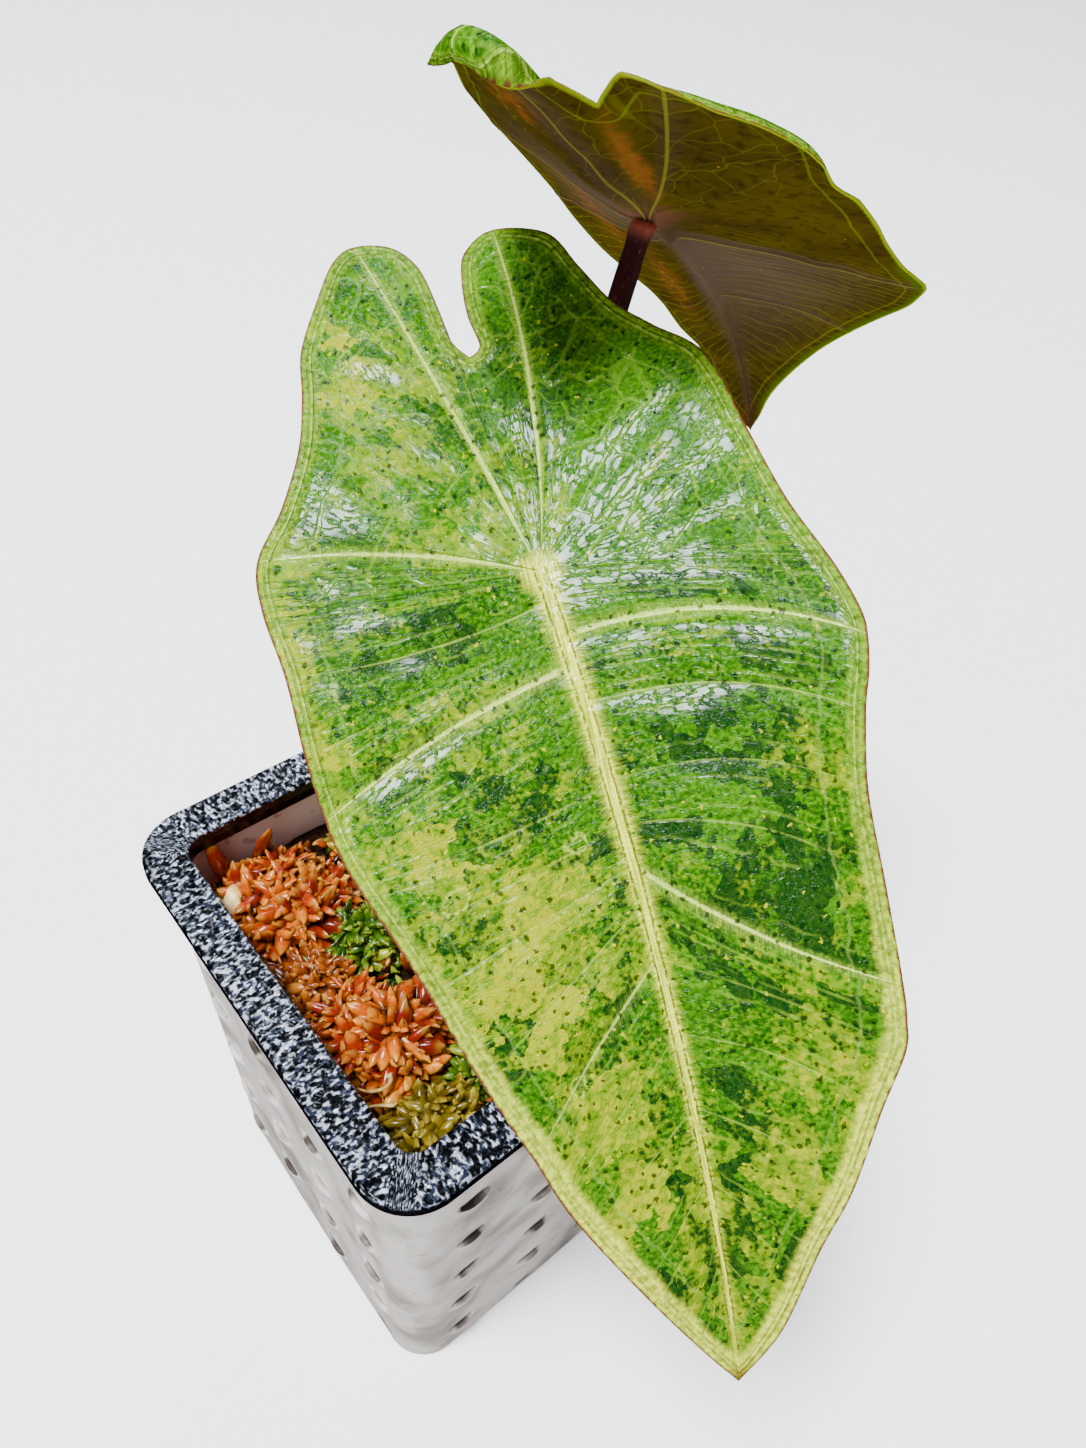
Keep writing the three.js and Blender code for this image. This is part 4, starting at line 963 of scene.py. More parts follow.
def leaf_above(sway, leaf_length, margin_scale=1, gloss=0.45):
    """The upper face: green and yellow patches with edges along the veins, cream veins
    with feathered edges, dark freckles and a pale margin with a thin brown edge."""
    def paint(v):
        at = leaf_values(v, sway, leaf_length)
        margin = at["margin"] * margin_scale
        across, along, run, away, s = (at[key] for key in ("across", "along", "run", "away", "s"))
        lobe, near, reach, place = (at[key] for key in ("lobe", "nearest", "reach", "place"))
        wander = v.noise(place, 0.16, 3.0)
        fray = v.noise(place, 0.9, 4.0)
        mottle = v.noise(place, 0.7, 6.0)
        cloud = v.noise(place, 0.07, 2.0)
        speckle = v.noise(place, 1.5, 3.0)
        # patches: cells along the veins, with frayed edges
        blade_part = 1 - lobe
        first = at["t"] * 1.3 * blade_part + at["branch"] * 0.12 * lobe
        second = run * 0.11 * blade_part + at["apart"] * 0.09 * lobe
        block = v.cells(v.vector(first + wander * 1.5 + fray * 0.5,
                                 second + wander * 2.2 + fray * 0.3), output="Color").split()
        flake = v.cells(v.vector(first * 2.4 + fray * 0.5, second * 3.8 + fray * 0.6),
                        output="Color").split()
        gold = (at["yellow"] + (block[0] - 0.5) * 0.85 + (flake[0] - 0.5) * 0.4
                + ((mottle - 0.5) * 1.7 + (speckle - 0.5) * 0.8) * (1 - 0.4 * lobe))
        lime = gold.step(0.25, 0.62)
        gold = (gold + (fray - 0.5) * 1.2).step(0.60, 1.05)
        deep = (block[1] - 0.60) * 1.5 + (flake[1] - 0.5) * 0.7 + (mottle - 0.5) * 0.9
        color = cloud.step(0.3, 0.7).choose(linear(27, 78, 3), linear(50, 102, 6))
        color = (speckle.step(0.48, 0.62) * 0.6).choose(color, linear(80, 126, 5))
        shade = speckle.step(0.50, 0.36) * (0.6 - 0.3 * lobe)
        color = shade.choose(color, linear(10, 48, 4))
        color = (deep.step(0.0, 0.30) * (0.85 - 0.35 * lobe)).choose(color, linear(6, 40, 12))
        color = (lime * 0.85).choose(color, linear(100, 128, 1))
        color = (gold * 0.9).choose(color, linear(144, 148, 0))
        # the net of small veins, and thin secondaries between the ribs
        net = v.cells(v.vector(away * 0.5 + near * 3.3 + fray * 2.0, run * 0.9 + fray * 2.0),
                      feature="DISTANCE_TO_EDGE")
        color = ((1 - net.step(0.0, 0.09)) * 0.07).choose(color, linear(120, 150, 40))
        split = v.math("FRACT", at["t"] * 2.0 + (wander - 0.5) * 0.6)
        second = abs(split - 0.5) * at["spacing"] * 0.5
        second = second.step(0.34, 0.10) * s.step(0.06, 0.16) * at["spacing"].step(3.0, 5.0)
        thin = away.step(0.30, 0.08) * s.step(0.04, 0.10)
        loops = v.cells(v.vector(across * 0.12 + wander * 0.8, along * 0.12 + wander * 0.8),
                        feature="DISTANCE_TO_EDGE")
        twig = loops.step(0.045, 0.012)
        second = (second + thin * 1.3) * blade_part * wander.step(0.40, 0.58) + twig * lobe
        color = (second * 0.2).choose(color, linear(140, 180, 50))
        # ribs, with feathered edges
        feather = v.noise(v.vector(run * 2.6, near * 5.1, away * 0.12), 1.0, 4.0)
        main = at["strength"].step(0.62, 1.0)
        wide = (0.16 + main * 0.30) * (1.25 - s * 0.85)
        rib_mask = (away / (wide * (feather * 2.0 + 0.05))).step(1.0, 0.35)
        rib_mask = rib_mask * s.step(0.02, 0.07) * (
            main * 0.75 + at["strength"] * blade_part * 0.2)
        halo = (away / (wide * (feather * 9.0 + 0.6))).step(1.0, 0.0) * main
        middle = at["middle"]
        ahead = along.step(-2.5, 1.0)
        barb = v.noise(v.vector(along * 2.2, across * 0.10, 7.0), 1.0, 4.0)
        band = (2.0 - reach * 1.6) * (barb * 2.0 - 0.05)
        midrib = (middle / band).step(1.0, 0.4) * ahead
        glow = (middle / (band * 1.8)).step(1.0, 0.2) * ahead
        around = (at["hub"] / (barb * 5.0 + 1.6)).step(1.0, 0.3)
        midrib = v.math("MAXIMUM", midrib, around)
        color = (glow * 0.6).choose(color, linear(138, 158, 4))
        color = (halo * 0.35).choose(color, linear(112, 150, 40))
        color = (rib_mask * 0.8).choose(color, linear(196, 218, 96))
        streak = v.noise(v.vector(across * 3.2, along * 0.12, 1.0), 1.0, 3.0)
        cream = streak.step(0.38, 0.62).choose(linear(150, 168, 8), linear(236, 238, 70))
        color = (midrib * 0.8).choose(color, cream)
        # fine pale hairs that fan out from the midrib and the main ribs
        fan = v.noise(v.vector(along * 4.6 - middle * 2.0, middle * 0.3, 2.0), 1.0, 3.0)
        fan = fan.step(0.48, 0.62) * (middle / (3.0 - reach * 2.0)).step(1.0, 0.35) * ahead
        comb = v.noise(v.vector(run * 4.6, away * 0.4, near * 3.0), 1.0, 3.0)
        comb = comb.step(0.48, 0.62) * (away / (2.0 - s * 1.2)).step(1.0, 0.3) * main
        hairs = v.math("MAXIMUM", fan, comb * 0.7)
        color = (hairs * 0.30).choose(color, linear(200, 214, 80))
        # two broken dark lines along the midrib
        dash = v.noise(v.vector(along * 1.3, across * 3.0, 3.0), 1.0, 2.0).step(0.40, 0.54)
        twin = abs(middle - (0.8 - reach * 0.5)).step(0.20, 0.06)
        twin = twin * dash * ahead * reach.step(0.98, 0.9)
        color = (twin * 0.8).choose(color, linear(60, 66, 14))
        # freckles, gold dots and pale rings
        ragged = v.vector(across + fray * 1.4, along + speckle * 1.2)
        freckle, pick = v.dots(ragged, FRECKLES_PER_MM)
        dot = (freckle / (pick[0] * 0.16 + 0.09)).step(1.0, 0.6) * pick[1].step(0.35, 0.40)
        color = (dot * 0.85 * (1 - midrib)).choose(color, linear(8, 34, 6))
        spark, pick = v.dots(ragged, SPARKS_PER_MM)
        spark = (spark / 0.07).step(1.0, 0.6) * pick[2].step(0.60, 0.65)
        color = (spark * 0.8).choose(color, linear(166, 168, 10))
        ring, pick = v.dots(v.vector(across + wander * 8.0, along + fray * 2.0), ISLANDS_PER_MM)
        island = abs(ring - pick[1] * 0.07 - 0.05).step(0.026, 0.008) * pick[0].step(0.45, 0.5)
        island = island * at["yellow"].step(0.15, 0.35) * speckle.step(0.38, 0.56)
        color = (island * 0.45).choose(color, linear(180, 204, 60))
        # margin: a pale band with two dark lines and a gleam between them, a collecting
        # vein inside it, and a brown edge that is widest at the leaf's tip
        ladder = v.noise(place, 1.1, 2.0)
        edge_noise = v.noise(place, 0.25, 3.0)
        low_end = reach.step(0.15, 0.75)
        pale_edge = (margin / (2.0 + edge_noise * 1.6 + low_end * 0.8)).step(1.0, 0.55)
        pale = low_end.choose(linear(128, 166, 30), linear(214, 222, 60))
        pale_share = 0.2 + 0.4 * ladder.step(0.4, 0.6) + 0.25 * low_end
        color = (pale_edge * pale_share).choose(color, pale)
        lines = (abs(margin - MARGIN_LINES[0]).step(0.20, 0.06)
                 + abs(margin - MARGIN_LINES[1]).step(0.18, 0.05))
        color = (lines * 0.4 * edge_noise.step(0.3, 0.6)).choose(color, linear(44, 74, 16))
        gleam = abs(margin - MARGIN_GLEAM).step(0.22, 0.08)
        color = (gleam * ladder.step(0.35, 0.6) * 0.35).choose(color, linear(180, 206, 100))
        collect = abs(margin - 4.4 - edge_noise * 2.4).step(0.30, 0.08)
        color = (collect * 0.16).choose(color, linear(150, 178, 80))
        color = margin.step(0.42, 0.10).choose(color, linear(96, 52, 34))
        end = along.step(leaf_length - 4.5, leaf_length - 0.5)
        color = (end * 0.85).choose(color, linear(84, 40, 22))
        # relief
        quilt = v.cells(v.vector(away * 0.52 + near * 3.3, run * 0.75), feature="SMOOTH_F1")
        crease = abs(v.noise(v.vector(away * 0.85, run * 0.38, near), 1.0, 3.0) - 0.5)
        grain = v.noise(place, 2.2, 2.0)
        height = ((1 - quilt) * 0.12 - crease.step(0.07, 0.0) * 0.42 + grain * 0.03
                  + rib_mask * 1.0 - twin * 1.0 + lines * -0.5 + second * -0.3 + gleam * 0.9
                  + (1 - ladder) * pale_edge * 1.4)
        return {"Base Color": color, "Roughness": 0.10 + 0.10 * mottle + 0.08 * rib_mask,
                "Normal": v.bump(1.0, 0.0002, height), "Specular IOR Level": gloss}
    return paint


def leaf_below(sway, leaf_length, shade, sheen_wash):
    """The lower face: bronze over olive, with purple-grey painted sheen beside the main ribs
    and the midrib and spread over two sectors of the blade, thin yellow-green veins, and a
    green margin."""
    def paint(v):
        at = leaf_values(v, sway, leaf_length)
        across, along, run, away, s = (at[key] for key in ("across", "along", "run", "away", "s"))
        lobe, near, margin, place, t = (at[key] for key in
                                        ("lobe", "nearest", "margin", "place", "t"))
        cloud = v.noise(place, 0.06, 3.0)
        mottle = v.noise(place, 0.5, 6.0)
        streak = v.noise(v.vector(away * 1.6 + near * 9.0, run * 0.06), 1.0, 3.0)
        color = cloud.step(0.35, 0.65).choose(linear(*shade), linear(60, 51, 8))
        color = (streak.step(0.4, 0.75) * 0.25).choose(color, linear(60, 48, 8))
        color = (mottle.step(0.48, 0.70) * 0.6).choose(color, linear(27, 18, 4))
        warm = (at["warm"] + (mottle - 0.5) * 1.3).step(0.3, 1.1)
        color = (warm * 0.75).choose(color, linear(112, 66, 26))
        # painted sheen: purple-grey beside the main ribs and the midrib
        main = at["strength"].step(0.6, 0.95)
        rib_sheen = (away / (main * 4.0 + 0.3)).step(1.0, 0.0) * main * (1 - 0.6 * lobe)
        beside = (at["middle"] / (5.5 - at["reach"] * 4.0)).step(1.0, 0.0)
        color = (v.math("MAXIMUM", rib_sheen, beside) * 0.35).choose(color, linear(74, 54, 48))
        # painted sheen spread over two sectors of the blade, where that half of it faces the light
        beyond = across.step(-1.0, 2.0)
        sheen_wedge = (t.step(2.5, 8.0) * t.step(10.6, 9.6) * beyond
                 + t.step(9.0, 11.0) * t.step(17.5, 15.0) * (1 - beyond))
        sheen_wedge = sheen_wedge * s.step(1.0, 0.20) * (streak * 1.3 + 0.15)
        color = (sheen_wedge * sheen_wash * (0.55 + 0.75 * mottle)).choose(color, linear(78, 64, 56))
        around = (at["hub"] / (mottle * 14.0 + 2.0)).step(1.0, 0.0)
        color = (around * 0.55).choose(color, linear(104, 62, 48))
        # veins
        split = v.math("FRACT", t * 3.0 + v.noise(place, 0.12, 2.0) * 1.6)
        fine = abs(split - 0.5) * at["spacing"] / 3.0
        hair = fine.step(0.26, 0.06) * s.step(0.1, 0.2) * at["spacing"].step(2.5, 4.5)
        wander = v.noise(place, 0.10, 2.0) * 0.9
        loops = v.cells(v.vector(across * 0.16 + wander, along * 0.16 + wander),
                        feature="DISTANCE_TO_EDGE")
        twig = loops.step(0.028, 0.006) * 0.7
        hair = hair * (1 - lobe) + twig * t.step(14.0, 17.0)
        color = (hair * 0.36).choose(color, linear(96, 96, 14))
        vein = (away / (0.14 + main * 0.22)).step(1.0, 0.4) * s.step(0.02, 0.06)
        color = (vein * (0.15 * (1 - lobe) + main * 0.45)).choose(color, linear(116, 112, 34))
        # margin, gold dots and the leaf's tip
        collect = abs(margin - 2.4 - cloud * 1.4).step(0.28, 0.08)
        color = (collect * 0.3).choose(color, linear(100, 118, 14))
        green = (margin / (1.3 + cloud * 1.8)).step(1.0, 0.3)
        green = green * (1 - lobe * run.step(52.0, 44.0))
        color = (green * 0.8).choose(color, linear(54, 76, 3))
        color = margin.step(0.6, 0.15).choose(color, linear(112, 124, 14))
        speck = v.cells(place, 0.2)
        chosen = v.cells(place, 0.2, output="Color").split()[0].step(0.5, 0.55)
        color = ((speck / 0.05).step(1.0, 0.6) * chosen * 0.7).choose(color, linear(150, 110, 20))
        end = along.step(leaf_length - 16.0, leaf_length - 1.0)
        color = (end * 0.75).choose(color, linear(58, 22, 14))
        height = hair * -0.3 + vein * 0.6 + v.noise(place, 1.4, 3.0) * 0.4 + streak * 0.3
        return {"Base Color": color, "Roughness": 0.5 + 0.15 * mottle,
                "Normal": v.bump(0.5, 0.0004, height), "Specular IOR Level": 0.0}
    return paint


# a patch is (its middle along, across, its reach along, across, how strong it is)
FRONT_PATCHES = dict(
    yellow=((42, 16, 22, 14, 0.75), (68, 8, 20, 10, 0.5), (96, 0, 20, 14, 0.35),
            (-30, 22, 20, 9, 0.6), (40, -34, 14, 5, 0.5), (74, -20, 18, 7, 0.45),
            (-20, 12, 16, 6, 0.4), (5, 36, 20, 5, 0.7), (28, 34, 16, 6, 0.6)),
    warm=((42, 16, 14, 8, 0.6), (60, 14, 10, 8, 0.5)))
BACK_PATCHES = dict(
    yellow=((42, -16, 26, 14, 0.9), (75, 4, 26, 16, 0.7), (20, 28, 18, 9, 0.5)),
    warm=((-22, 3.6, 17, 2.6, 1.05), (24, -18, 22, 8, 0.75), (-34, -12, 12, 6, 0.8),
          (44, -6, 20, 5, 0.7)))

front_blade, back_blade = Blade(FRONT_LEAF), Blade(BACK_LEAF)
front_size = FRONT_LEAF["sway"], FRONT_LEAF["length"]
back_size = BACK_LEAF["sway"], BACK_LEAF["length"]
front = blade_piece("front_leaf", front_blade, FRONT_PATCHES, [
    finish("front_leaf_above", leaf_above(*front_size)),
    finish("front_leaf_below", leaf_below(*front_size, (48, 40, 2), 0.2))])
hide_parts("leaf_front_blade")
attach(front, "root")
back = blade_piece("back_leaf", back_blade, BACK_PATCHES, [
    finish("back_leaf_above", leaf_above(*back_size, 2, 0.05)),
    finish("back_leaf_below", leaf_below(*back_size, (48, 38, 8), 0.8))])
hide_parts("leaf_back_blade")
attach(back, "root")


# ---- Petioles ----------------------------------------------------------------------
# Round stalks, dark maroon with short pale flecks along them. They taper upwards and
# swell into a pinkish joint under the blade.

PETIOLE_BASE_RADIUS, PETIOLE_TOP_RADIUS = 2.8, 1.75
STEM_TOP = SUBSTRATE_TOP + 8
SOCKET_DEPTH = 9
STALK_FOOT = STEM_TOP - SOCKET_DEPTH
STALK_POINTS, STALK_SIDES = 110, 28
FRONT_STALK = ((-3.6, -2.4, STALK_FOOT), (-4.2, -5, 128), (-0.5, -6, 158), FRONT_LEAF["joint"])
BACK_STALK = ((-2.2, 4.3, STALK_FOOT), (6, 8.5, 128), (26.5, 14, 170), BACK_LEAF["joint"])


def stalk_line(knots, count):
    """Points along a curve through the knots, whose pace in each stretch is the square
    root of the stretch's length."""
    knots = np.array(knots, float)
    knots = np.concatenate([[2 * knots[0] - knots[1]], knots, [2 * knots[-1] - knots[-2]]])
    pace = np.sqrt(np.linalg.norm(np.diff(knots, axis=0), axis=1))
    line = []
    for k in range(1, len(knots) - 2):
        before, here, there, after = knots[k - 1:k + 3]
        a, b, c = pace[k - 1:k + 2]
        leave = ((here - before) / a - (there - before) / (a + b) + (there - here) / b) * b
        arrive = ((there - here) / b - (after - here) / (b + c) + (after - there) / c) * b
        u = np.linspace(0, 1, count)[:, None]
        line.append((((2 * here - 2 * there + leave + arrive) * u
                      + (3 * there - 3 * here - 2 * leave - arrive)) * u + leave) * u + here)
    return np.concatenate([part[:-1] for part in line] + [line[-1][-1:]])


def tube(line, radius, sides):
    """A round skin along a line. The frame is carried from point to point without twist
    by taking out of the last side vector what lies along the new direction."""
    ahead = np.gradient(line, axis=0)
    ahead /= np.linalg.norm(ahead, axis=1, keepdims=True)
    side = np.cross(ahead[0], (0.0, 1.0, 0.2))
    sides_along = []
    for way in ahead:
        side = side - way * (side @ way)
        side = side / np.linalg.norm(side)
        sides_along.append(side)
    side = np.array(sides_along)
    other = np.cross(ahead, side)
    angle = np.linspace(0, 2 * np.pi, sides + 1)[:-1]
    ring = side[:, None] * np.cos(angle)[:, None] + other[:, None] * np.sin(angle)[:, None]
    return line[:, None] + ring * np.reshape(radius, (-1, 1, 1))


def closed(rings):
    """Rings with their two ends drawn together to a point."""
    ends = [np.repeat(rings[k].mean(0)[None], rings.shape[1], 0)[None] for k in (0, -1)]
    return np.concatenate([ends[0], rings, ends[1]])


def maroon_stalk(v):
    """Maroon with pale flecks. up is 0 at the blade and falls towards the foot, in mm."""
    turn, up = v.map("along")
    streak = v.noise(v.vector(turn * 9.0, up * 0.05), 1.0, 3.0)
    spots = v.vector(turn * 12.0, up * 0.42)
    picked = v.cells(spots, output="Color").split()[0].step(0.55, 0.6)
    fleck = (v.cells(spots) / 0.16).step(1.0, 0.5) * picked
    color = streak.step(0.3, 0.7).choose(linear(34, 6, 9), linear(56, 15, 15))
    color = (fleck * 0.7).choose(color, linear(150, 112, 84))
    color = (up.step(-3.0, -0.5) * 0.8).choose(color, linear(126, 58, 40))
    height = streak + 0.4 * v.noise(v.place(), 1500.0)
    return {"Base Color": color, "Roughness": 0.34 + 0.1 * up.step(0.0, -5.0),
            "Normal": v.bump(0.4, 0.0003, height), "Specular IOR Level": 0.25}


stalk_skin = finish("maroon_stalk", maroon_stalk)
for name, knots, blade, node in (
        ("front_petiole", FRONT_STALK, front_blade, "leaf_front_petiole"),
        ("back_petiole", BACK_STALK, back_blade, "leaf_back_petiole")):
    line = stalk_line(knots, 40)
    walked = np.concatenate([[0], np.cumsum(np.linalg.norm(np.diff(line, axis=0), axis=1))])
    total = walked[-1]
    stop = total - (BLADE_THICKNESS + MIDRIB_HEIGHT * 0.4)
    even = np.linspace(0, stop, STALK_POINTS)
    line = np.stack([np.interp(even, walked, line[:, k]) for k in range(3)], 1)
    taper = (PETIOLE_TOP_RADIUS - PETIOLE_BASE_RADIUS) * np.sqrt(even / total)
    swelling = (0.35 * np.exp(-((stop - even) / 1.6) ** 2)
                - 0.12 * np.exp(-((stop - even - 4) / 2) ** 2))
    rings = tube(line, PETIOLE_BASE_RADIUS + taper + swelling, STALK_SIDES)
    # what would stand out of the blade's upper face is pressed down to it
    above = (rings - np.array(knots[-1])) @ blade.normal + BLADE_THICKNESS + 0.25
    rings = closed(rings - np.clip(above, 0, None)[..., None] * blade.normal)
    turns = np.tile(np.sin(np.linspace(0, 2 * np.pi, STALK_SIDES + 1)[:-1]), (len(rings), 1))
    lengths = np.repeat(np.concatenate([[0], even, [stop]])[:, None] - stop, STALK_SIDES, 1)
    stalk = surface(name, rings.reshape(-1, 3), grid(*rings.shape[:2], wrap=True), [stalk_skin],
                    {"along": np.stack([turns.ravel(), lengths.ravel()], -1)}, merge=0.001)
    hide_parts(node)
    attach(stalk, "root")


# ---- Stem --------------------------------------------------------------------------
# The short corm that both leaves grow from. Old leaf scars ring it, and dry sheath scales
# stand round its top.

SCAR_COUNT = 9
SCALE_ANGLES = (20, 95, 170, 245, 320)
SCALE_HALF_WIDTH, SCALE_HEIGHT, SCALE_THICKNESS = 3.6, 12.4, 0.5


def around_stem(radius, angle, z):
    """Points at a radius and an angle from the stem's centre."""
    return np.stack([STEM_CENTRE[0] + radius * np.cos(angle),
                     STEM_CENTRE[1] + radius * np.sin(angle), z], -1)


def corm():
    """A column turned round the stem's centre. Its radius dips at each leaf scar."""
    low, high = SUBSTRATE_TOP - HOLE_DEPTH + 0.3, STEM_TOP
    z = np.linspace(low, high, 90)
    share = (z - low) / (high - low)
    dip = np.abs(np.sin(np.pi * SCAR_COUNT * share)) ** 0.4
    radius = (STEM_RADIUS - 0.2) * (0.55 + 0.45 * np.clip(share / 0.2, 0, 1))
    radius = radius * (0.93 + 0.07 * dip)
    radius = radius * np.where(share > 0.94, 1 - 0.3 * ((share - 0.94) / 0.06) ** 2, 1)
    z, angle = np.meshgrid(z, np.linspace(0, 2 * np.pi, 73)[:-1], indexing="ij")
    rough = 1 + 0.02 * ripples(angle * 9, z, 4, 10, 1.5, 6)
    return closed(around_stem(radius[:, None] * rough, angle, z))


def sheath(angle):
    """A dry scale: a pointed strip that hugs the corm at its foot and leans out at its
    tip, with a ragged edge."""
    up, across = np.meshgrid(np.linspace(0, 1, 24), np.linspace(-1, 1, 11), indexing="ij")
    width = SCALE_HALF_WIDTH * np.sqrt(np.clip(1 - up ** 2.2, 0, 1)) + 0.05
    turn = np.radians(angle) + across * width / STEM_RADIUS
    ragged = 0.25 * np.sin(up * 40 + angle) * np.abs(across)
    radius = STEM_RADIUS - 0.1 + 1.6 * up ** 2 + ragged * 0.4
    z = STEM_TOP - 6 + SCALE_HEIGHT * up * (1 - 0.04 * np.abs(across)) + ragged
    outer = around_stem(radius, turn, z)
    inner = around_stem(radius - SCALE_THICKNESS, turn, z)
    return closed(np.concatenate([outer, inner[:, ::-1]], 1))


def dry_sheath(v):
    at = v.place()
    fibre = v.noise(v.drawn_out(at, (6.0, 6.0, 0.5)), 260.0, 4.0)
    patch = v.noise(at, 200.0, 3.0)
    color = fibre.step(0.35, 0.65).choose(linear(84, 58, 34), linear(150, 116, 74))
    color = (patch.step(0.5, 0.7) * 0.5).choose(color, linear(58, 36, 22))
    return {"Base Color": color, "Roughness": 0.7 - 0.15 * patch,
            "Normal": v.bump(0.7, 0.0006, fibre)}


def together(parts):
    """Points and quads of several ring skins, as one mesh."""
    points, quads, count = [], [], 0
    for rings in parts:
        points.append(rings.reshape(-1, 3))
        quads.append(grid(*rings.shape[:2], wrap=True) + count)
        count += rings.shape[0] * rings.shape[1]
    return np.concatenate(points), np.concatenate(quads)


stem = surface("corm", *together([corm()] + [sheath(angle) for angle in SCALE_ANGLES]),
               [finish("dry_sheath", dry_sheath)], merge=0.001)
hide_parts("stem")
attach(stem, "root")


# ---- Living moss -------------------------------------------------------------------
# Wet moss heads, each a dome of tufts of plump pointed leaflets. A head is (its node, its
# tone, its centre x and y, its radius, its height), and most leaflets curl outwards.

MOSS_FLOOR = SUBSTRATE_TOP + 0.3
HEADS = (
    ("moss_orange_left", "orange", -24.5, 23.5, 14.5, 11),
    ("moss_orange_front", "orange", -26, -12, 13, 12),
    ("moss_green_left", "green", -16.5, 8, 8, 7),
    ("moss_brown_left", "brown", -31, 5, 9.5, 6),
    ("moss_olive_front", "olive", -27, -31, 9.5, 8),
    ("moss_green_front", "green", -13, -27, 8, 8),
    ("moss_orange_right", "orange", 6, -26, 12, 10),
    ("moss_olive_right", "olive", 28, -25, 11, 9),
    ("moss_orange_back", "orange", 25, 3, 14, 11),
    ("moss_green_back", "green", 27, 28, 11, 9),
    ("moss_olive_back", "olive", 1, 27, 12, 10))
GOLDEN_ANGLE = np.pi * (3 - np.sqrt(5))
LEAFLET_SIDES = 6
FIRST_HEAD_SEED = 40
# the core's tone, and a share of a leaflet's length near the foot, which gives it the dark painted
# shade
SHADED_CORE_TONE = (0.2, 0.05)
WALL_INSIDE = 39.4


def leaflets(roots, ways, backs, lengths, widths, curls, tones):
    """Many leaflets at once. One is a spindle of rings round its length, widest below the
    middle, keeled under, and bent towards its back in proportion to the square of the
    share of its length."""
    share = np.array([0.0, 0.12, 0.34, 0.62, 0.86, 1.0])
    girth = np.array([0.40, 0.80, 1.0, 0.98, 0.70, 0.08])
    angle = np.linspace(0, 2 * np.pi, LEAFLET_SIDES + 1)[:-1]
    y = girth[:, None] * np.cos(angle) / 2
    z = girth[:, None] * (np.sin(angle) * 0.5 - 0.16 * np.cos(2 * angle)) * 0.52
    x_way = ways / np.linalg.norm(ways, axis=1, keepdims=True)
    y_way = np.cross(backs, x_way)
    y_way /= np.linalg.norm(y_way, axis=1, keepdims=True)
    z_way = np.cross(x_way, y_way)
    along = lengths[:, None, None] * share[None, :, None] * np.ones_like(y)[None]
    curled = (curls * lengths)[:, None, None] * (share ** 2)[None, :, None]
    lift = widths[:, None, None] * z[None] + curled
    points = (roots[:, None, None] + along[..., None] * x_way[:, None, None]
              + (widths[:, None, None] * y[None])[..., None] * y_way[:, None, None]
              + lift[..., None] * z_way[:, None, None])
    quads = grid(len(share), LEAFLET_SIDES, wrap=True)
    each = len(share) * LEAFLET_SIDES
    all_quads = (quads[None] + (np.arange(len(roots)) * each)[:, None, None]).reshape(-1, 4)
    tone = np.stack([np.repeat(tones[:, None], each, 1).ravel(),
                     np.tile(np.repeat(share, LEAFLET_SIDES), len(roots))], -1)
    return points.reshape(-1, 3), all_quads, tone


def moss_head(x, y, radius, high, seed):
    """Tufts set over a dome at the golden angle, each a rosette of leaflets that spread
    from its own axis and droop. Those that would leave the head's dome, pass the pot's
    wall or touch the stem are left out."""
    draw = np.random.default_rng(seed)
    tufts = int(5 + radius * 0.9)
    k = np.arange(tufts)
    lean = np.arccos(1 - 0.97 * (k + 0.4) / tufts)
    turn = GOLDEN_ANGLE * k + draw.normal(0, 0.35, tufts)
    axis = np.stack([np.cos(turn) * np.sin(lean), np.sin(turn) * np.sin(lean), np.cos(lean)], -1)
    size = np.array((radius, radius, high))
    centre = np.array((x, y, MOSS_FLOOR)) + axis * size * draw.uniform(0.48, 0.72, (tufts, 1))
    axis = axis + np.array((0, 0, 0.35)) + draw.normal(0, 0.22, (tufts, 3))
    each = int(15 + radius)
    axis = np.repeat(axis / np.linalg.norm(axis, axis=1, keepdims=True), each, 0)
    count = tufts * each
    spread = np.arccos(1 - 0.92 * (np.tile(np.arange(each), tufts) + 0.5) / each)
    round_it = GOLDEN_ANGLE * np.arange(count) + draw.normal(0, 0.3, count)
    side = np.cross(axis, draw.normal(0, 1, 3))
    side /= np.linalg.norm(side, axis=1, keepdims=True)
    other = np.cross(axis, side)
    out = side * np.cos(round_it)[:, None] + other * np.sin(round_it)[:, None]
    heading = axis * np.cos(spread)[:, None] + out * np.sin(spread)[:, None]
    heading = heading + draw.normal(0, 0.16, (count, 3))
    heading /= np.linalg.norm(heading, axis=1, keepdims=True)
    root = np.repeat(centre, each, 0) + out * (0.10 * radius * np.sin(spread))[:, None]
    longest = np.minimum(radius * 0.68, 8.0)
    length = longest * draw.uniform(0.6, 1.0, count) * (0.75 + 0.25 * np.sin(spread))
    tip = root + heading * length[:, None]
    inside = (((tip - np.array((x, y, MOSS_FLOOR))) / size) ** 2).sum(1)
    room = np.minimum(WALL_INSIDE - np.abs(tip[:, 0]), WALL_INSIDE - np.abs(tip[:, 1]))
    from_stem = np.hypot(tip[:, 0] - STEM_CENTRE[0], tip[:, 1] - STEM_CENTRE[1]) - STEM_RADIUS
    keep = (room > 0) & (tip[:, 2] > MOSS_FLOOR) & (from_stem > 0.6) & (inside < 1.55)
    tone = np.repeat(draw.uniform(0, 0.8, tufts), each) + draw.uniform(-0.1, 0.25, count)
    back = axis + draw.normal(0, 0.2, (count, 3))
    return leaflets(root[keep], heading[keep], back[keep], length[keep],
                    length[keep] * draw.uniform(0.34, 0.52, count)[keep],
                    draw.uniform(-0.75, 0.05, count)[keep], np.clip(tone, 0, 1)[keep])


